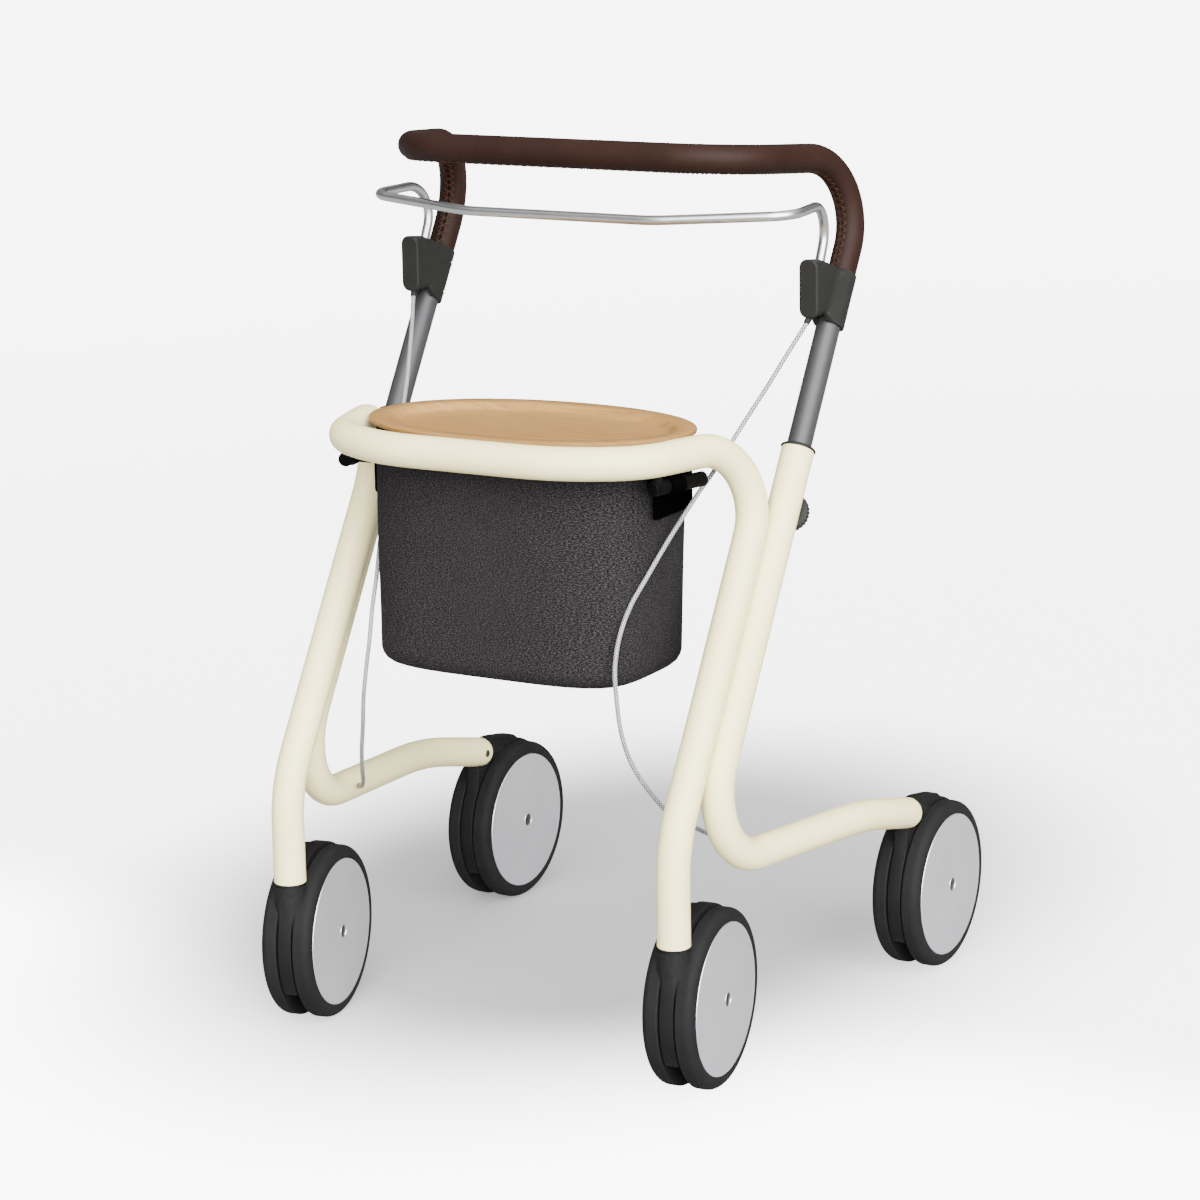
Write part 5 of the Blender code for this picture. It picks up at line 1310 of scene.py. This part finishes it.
def fan_outline(lug=None):
    """The mudguard plate round the axle: (forward, up) from the axle's centre."""
    points = []
    for k in range(49):
        angle = between(BAND_LOW, BAND_BACK, k / 48)
        points.append(polar(BAND_R + BAND_HUMP * bell(angle - HUMP_AT, HUMP_SPREAD), angle))
    if lug:
        low = max(k for k, p in enumerate(points) if p[0] > lug[0][0])
        high = min(k for k, p in enumerate(points) if p[0] < lug[-1][0] - LUG_BLEND)
        points = points[:low + 1] + lug + points[high:]
    return points + arc(BOSS_R, 200, 90, 12)


def carrier_plate(outline):
    """An upright plate on x = 0 from (forward, up) points, its rims rounded."""
    bm = bmesh.new()
    bm.faces.new([bm.verts.new((-PLATE_T / 2, -forward, up)) for forward, up in outline])
    return thickened(bm, ACROSS * PLATE_T, PLATE_EDGE, 3)


def wheel_rooms(place):
    """The spaces that both turning wheels need, to trim what stands beside them."""
    return [put(turned(WHEEL_ROOM, WHEEL_SIDES), facing_out(place, out)) for out in (1, -1)]


def add_carrier(name, parts, body, replaces):
    add_piece(name, parts, CARRIER, body, [replaces], worn=30.0)


def make_caster(side, label):
    """The plate with its neck, which is cut away for the leg and by a shadow gap."""
    place = unit_place("front", side)
    swivel = swivel_place(side)
    neck = rod(NECK_R, NECK_TOP_Z - NECK_LOW_Z, Matrix.Identity(4), 64)
    soften(neck, [e for e in neck.edges if all(v.co.z > 0 for v in e.verts)], NECK_EDGE, 3)
    put(neck, swivel @ raised((NECK_TOP_Z + NECK_LOW_Z) / 2))
    groove = put(turned(NECK_GROOVE, 64, closed=True), swivel @ raised(GROOVE_Z))
    neck = with_modifiers(neck, cut_by(*wheel_rooms(place), groove))
    leg_room = rod(LEG_ROOM_R, LEG_ROOM_L, swivel @ raised(NECK_TOP_Z + LEG_ROOM_L / 2), 64)
    body = put(carrier_plate(fan_outline()), place)
    add_carrier("caster_moulding_" + label,
                with_modifiers(body, joined_with(neck) + cut_by(leg_room)),
                "caster_" + label, "caster_body_" + label)


def make_rear_carrier(side, label):
    """The plate with the seat that holds the rear tube's domed end."""
    place = unit_place("rear", side)
    end = at_side(TAIL, side)
    run = tail_run(side)
    lug = [Vector((0.0, REAR_AXLE_Y - TAIL[1] + f, TAIL[2] - WHEEL_R + u)) for f, u in LUG_OUTLINE]
    body = put(carrier_plate(fan_outline([(p.y, p.z) for p in smooth_route(lug)])), place)
    cap = rod(TAIL_CAP_R, TAIL_CAP_L, along(run, end + run * TAIL_CAP_L / 2), 64, TAIL_CAP_LOW_R)
    cap = with_modifiers(cap, cut_by(*wheel_rooms(place)))
    seat = domed_tube([end - run * SEAT_L, end], SEAT_R, ACROSS)
    add_carrier("rear_carrier_moulding_" + label,
                with_modifiers(body, joined_with(cap) + cut_by(seat)),
                "frame", "rear_carrier_" + label)


# Bag, hangers and tray

def oval(width, y_front, y_back, square, z, count):
    """A squarish oval, its points evenly spaced."""
    fine = []
    for angle in full_turn(720):
        across, back = (math.copysign(abs(v) ** (2 / square), v)
                        for v in (math.cos(angle), math.sin(angle)))
        y = (y_front + y_back) / 2 + back * (y_back - y_front) / 2
        fine.append(Vector((across * width / 2, y, z)))
    fine.append(fine[0].copy())
    total = sum((b - a).length for a, b in zip(fine, fine[1:]))
    return evenly_spaced(fine, total / count * 0.999999)[:count]


def waist_share(share):
    """How far the wall has widened at a share of its height; it widens more towards the top."""
    return 0.90 * share + 0.10 * share ** 2 if share < 1 else 1.0


def bag_ring(t, inset, z):
    front, back = (between(low, top, t) for low, top in zip(BAG_LOW_Y, BAG_TOP_Y))
    return oval(between(BAG_LOW_W, BAG_TOP_W, t) - 2 * inset, front + inset, back - inset,
                between(BAG_LOW_SQUARE, BAG_TOP_SQUARE, t), z, BAG_COUNT)


def wall_ring(share, inset):
    return bag_ring(waist_share(share), inset, BAG_LOW_Z + BAG_HEM + BAG_WALL_H * share)


def slacken(bm):
    """Lets the walls bulge a little between base and rim."""
    for vert in bm.verts:
        co = vert.co
        if SLACK_LOW < co.z < SLACK_HIGH:
            slack = noise.noise(co * SLACK_SCALE) * SLACK
            ripple = noise.noise(co * RIPPLE_SCALE + Vector((0, 0, 7))) * RIPPLE
            fade = min(1.0, (SLACK_HIGH - co.z) / 0.05, (co.z - SLACK_LOW) / 0.03)
            out = Vector((co.x, co.y - BAG_MID_Y, 0)).normalized()
            vert.co += out * (slack + ripple) * fade


def lay_cloth(bm):
    """The UV map, in metres: round and up on the walls, flat on the base."""
    uv = bm.loops.layers.uv.new("UVMap")
    for face in bm.faces:
        steep = abs(face.normal.z) < 0.8
        middle = face.calc_center_median()
        mean = math.atan2(middle.y - BAG_MID_Y, middle.x)
        for corner in face.loops:
            co = corner.vert.co
            corner[uv].uv = (co.x, co.y)
            if steep:
                angle = math.atan2(co.y - BAG_MID_Y, co.x)
                if angle - mean > math.pi:
                    angle -= 2 * math.pi
                if mean - angle > math.pi:
                    angle += 2 * math.pi
                corner[uv].uv = (angle * CLOTH_GIRTH, co.z)


def make_bag():
    """A stiff cloth bag: rounded base, slightly slack walls, a turned-over rim."""
    rings = [bag_ring(0.0, inset, BAG_LOW_Z + rise) for inset, rise in BAG_BASE]
    rings += [wall_ring(k / BAG_ROWS, 0.0) for k in range(BAG_ROWS + 1)]
    rings += [bag_ring(1.0, inset, BAG_RIM_Z) for inset in (BAG_LIP, BAG_WALL - BAG_LIP)]
    rings += [wall_ring(1 - k / BAG_INNER_ROWS, BAG_WALL) for k in range(BAG_INNER_ROWS + 1)]
    rings += [bag_ring(0.0, inset + LINING_INSET, BAG_LOW_Z + rise + BAG_WALL)
              for inset, rise in reversed(BAG_BASE)]
    bm = skin(rings)
    slacken(bm)
    lay_cloth(bm)
    add_piece("cloth_bag", bm, MELANGE, "frame", ["bag"], 60.0)


def wall_x(z):
    share = (z - BAG_LOW_Z - BAG_HEM) / BAG_WALL_H
    return between(BAG_LOW_W, BAG_TOP_W, waist_share(share)) / 2


def rail_line(side):
    """Which way the rail runs to the rear, and where it ends."""
    front = Vector((*SIDE_FRONT, 0))
    back = Vector((LEG_X, leg_line(BAR_Z), 0))
    share = (RAIL_END_Y - front.y) / (back.y - front.y)
    end = Vector((between(front.x, back.x, share) * side, RAIL_END_Y, RAIL_Z))
    return at_side((back - front).normalized(), side), end


def make_rail(side, label):
    """The black rod under the frame, held by a short post."""
    run, end = rail_line(side)
    profile = rounded([(0.0, 0.0), (RAIL_R, 0.0), (RAIL_R, -RAIL_L), (0.0, -RAIL_L)], RAIL_EDGE, 3)
    rail = put(turned(profile, 48), along(run, end))
    foot = end - run * (RAIL_L - RAIL_R)
    post = rod(POST_R, POST_H, Matrix.Translation(foot) @ raised(POST_H / 2), 36)
    add_piece("rail_rod_" + label, with_modifiers(rail, joined_with(post)), SOOT, "frame",
              ["bag_rail_" + label], worn=40.0)


def flat_panel(width, height):
    """A plate in the XY plane with round corners and soft rims."""
    bm = bmesh.new()
    outline = round_cornered(width / 2 - HANGER_CORNER, height / 2 - HANGER_CORNER,
                             HANGER_CORNER, 6)
    ring = bmesh.ops.create_circle(bm, segments=len(outline), radius=1.0, cap_ends=True)["verts"]
    for vert, (x, y) in zip(ring, outline):
        vert.co = (x, y, 0.0)
    return thickened(bm, Vector((0, 0, HANGER_T)), HANGER_EDGE, 2)


def make_hanger(side, label):
    """The black plate on the bag's side with the sleeve that slides on the rail."""
    run, end = rail_line(side)
    y_front, y_back = HANGER_Y
    z_low, z_high = HANGER_Z
    x = wall_x(z_high) - HANGER_BITE
    middle = Vector((x * side, (y_front + y_back) / 2, (z_low + z_high) / 2))
    turn = Matrix(((0, 0, side, 0), (side, 0, 0, 0), (0, 1, 0, 0), (0, 0, 0, 1)))
    panel = put(flat_panel(y_back - y_front, z_high - z_low), Matrix.Translation(middle) @ turn)
    bmesh.ops.recalc_face_normals(panel, faces=panel.faces)
    at = end - run * ARM_BACK
    arm_w = abs(at.x) - x
    arm = block((arm_w, *ARM_SIZE), Matrix.Translation((side * (x + arm_w / 2), at.y, at.z)))
    soften(arm, list(arm.edges), ARM_EDGE, 2)
    guide = rod(RAIL_R + GUIDE_WALL, GUIDE_L, along(run, at))
    bore = rod(RAIL_R + GUIDE_PLAY, BORE_L, along(run, at))
    bm = with_modifiers(panel, joined_with(arm, guide) + cut_by(bore))
    add_piece("hanger_plate_" + label, bm, JET, "frame", ["bag_hanger_" + label],
              worn=40.0)


def make_tray():
    """A pressed veneer tray: flat rim, soft step, flat floor; darker along its outer edge."""
    front, back = TRAY_Y
    rings = [oval(TRAY_W - 2 * inset, front + inset, back - inset, TRAY_SQUARE, z, TRAY_COUNT)
             for inset, z in TRAY_RINGS]
    tray = add_piece("veneer_tray", skin(rings), WOOD, "tray", ["tray"], 40.0)
    values = []
    mid = (front + back) / 2 + SHIFT.y
    for vert in tray.data.vertices:
        share = (vert.co.z - TRAY_Z) / TRAY_T
        reach = abs(2 * vert.co.x / TRAY_W) ** TRAY_SQUARE
        reach += abs(2 * (vert.co.y - mid) / (back - front)) ** TRAY_SQUARE
        values.append(EDGE_BAND_MIX if reach > EDGE_BAND_REACH and 0.1 < share < 0.9 else 0.0)
    store(tray, "edge_band", values)


# Solids that stay as they are get their finishes here

def finish_hidden_solids():
    finishes = {"axle": SCREW_METAL, "caster_stem": SCREW_METAL, "stem_bush": HIDDEN,
                "brake_slider": HIDDEN, "brake_shoe": RUBBER}
    for name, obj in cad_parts.items():
        for start, mat in finishes.items():
            if name.startswith(start):
                for slot in obj.material_slots:
                    slot.material = mat


# Floor, light and camera

def make_floor():
    bm = bmesh.new()
    bmesh.ops.create_grid(bm, x_segments=2, y_segments=2, size=FLOOR_REACH)
    floor = mesh_object("studio_floor", bm)
    floor.data.materials.append(studio_paper())


def make_room():
    """A pale room with soft lights; the camera sees an even backdrop instead."""
    world = bpy.data.worlds.new("studio")
    world.use_nodes = True
    tree = world.node_tree
    direction = add_node(tree, "ShaderNodeTexCoord").outputs["Generated"]
    level = ROOM_LIGHT
    for aim, reach, strength in SOFT_LIGHTS:
        facing = add_node(tree, "ShaderNodeVectorMath", {0: direction, 1: Vector(aim).normalized()},
                          operation="DOT_PRODUCT").outputs["Value"]
        share = ranged(tree, facing, math.cos(math.radians(reach)),
                       math.cos(math.radians(reach * FULL_SHARE)), curve="SMOOTHSTEP")
        level = plus(tree, times(tree, share, strength), level)
    seen = add_node(tree, "ShaderNodeLightPath").outputs["Is Camera Ray"]
    shown = add_node(tree, "ShaderNodeMix", {"Factor": seen, 2: level, 3: BACKDROP_LEVEL},
                     data_type="FLOAT")
    tree.links.new(shown.outputs[0], tree.nodes["Background"].inputs["Strength"])
    tree.nodes["Background"].inputs["Color"].default_value = (1.0, 1.0, 1.0, 1.0)
    bpy.context.scene.world = world


def make_camera():
    """Stands where the photograph was taken from, found from the object's own symmetry."""
    right = Vector((math.cos(AZIMUTH), math.sin(AZIMUTH), 0))
    back = Vector((math.sin(AZIMUTH) * math.cos(ELEVATION),
                   -math.cos(AZIMUTH) * math.cos(ELEVATION), math.sin(ELEVATION)))
    up = back.cross(right)
    data = bpy.data.cameras.new("view")
    data.lens = LENS
    data.sensor_width = SENSOR
    camera = linked("view", data)
    place = Matrix((right * math.cos(ROLL) + up * math.sin(ROLL),
                    up * math.cos(ROLL) - right * math.sin(ROLL), back)).transposed().to_4x4()
    place.translation = Vector(CAMERA_PLACE) + SHIFT
    camera.matrix_world = place
    bpy.context.scene.camera = camera


def main():
    make_camera()
    make_floor()
    make_room()
    make_front_frame()
    make_handle_tube()
    make_leather()
    make_brake_bar()
    make_bag()
    make_tray()
    for side, label in SIDES.items():
        make_rear_tube(side, label)
        make_frame_fittings(side, label)
        make_housing(side, label)
        make_cable(side, label)
        make_knob(side, label)
        make_rail(side, label)
        make_hanger(side, label)
        make_caster(side, label)
        make_rear_carrier(side, label)
        for end in ("front", "rear"):
            make_wheels(end, side, label)
    finish_hidden_solids()


main()
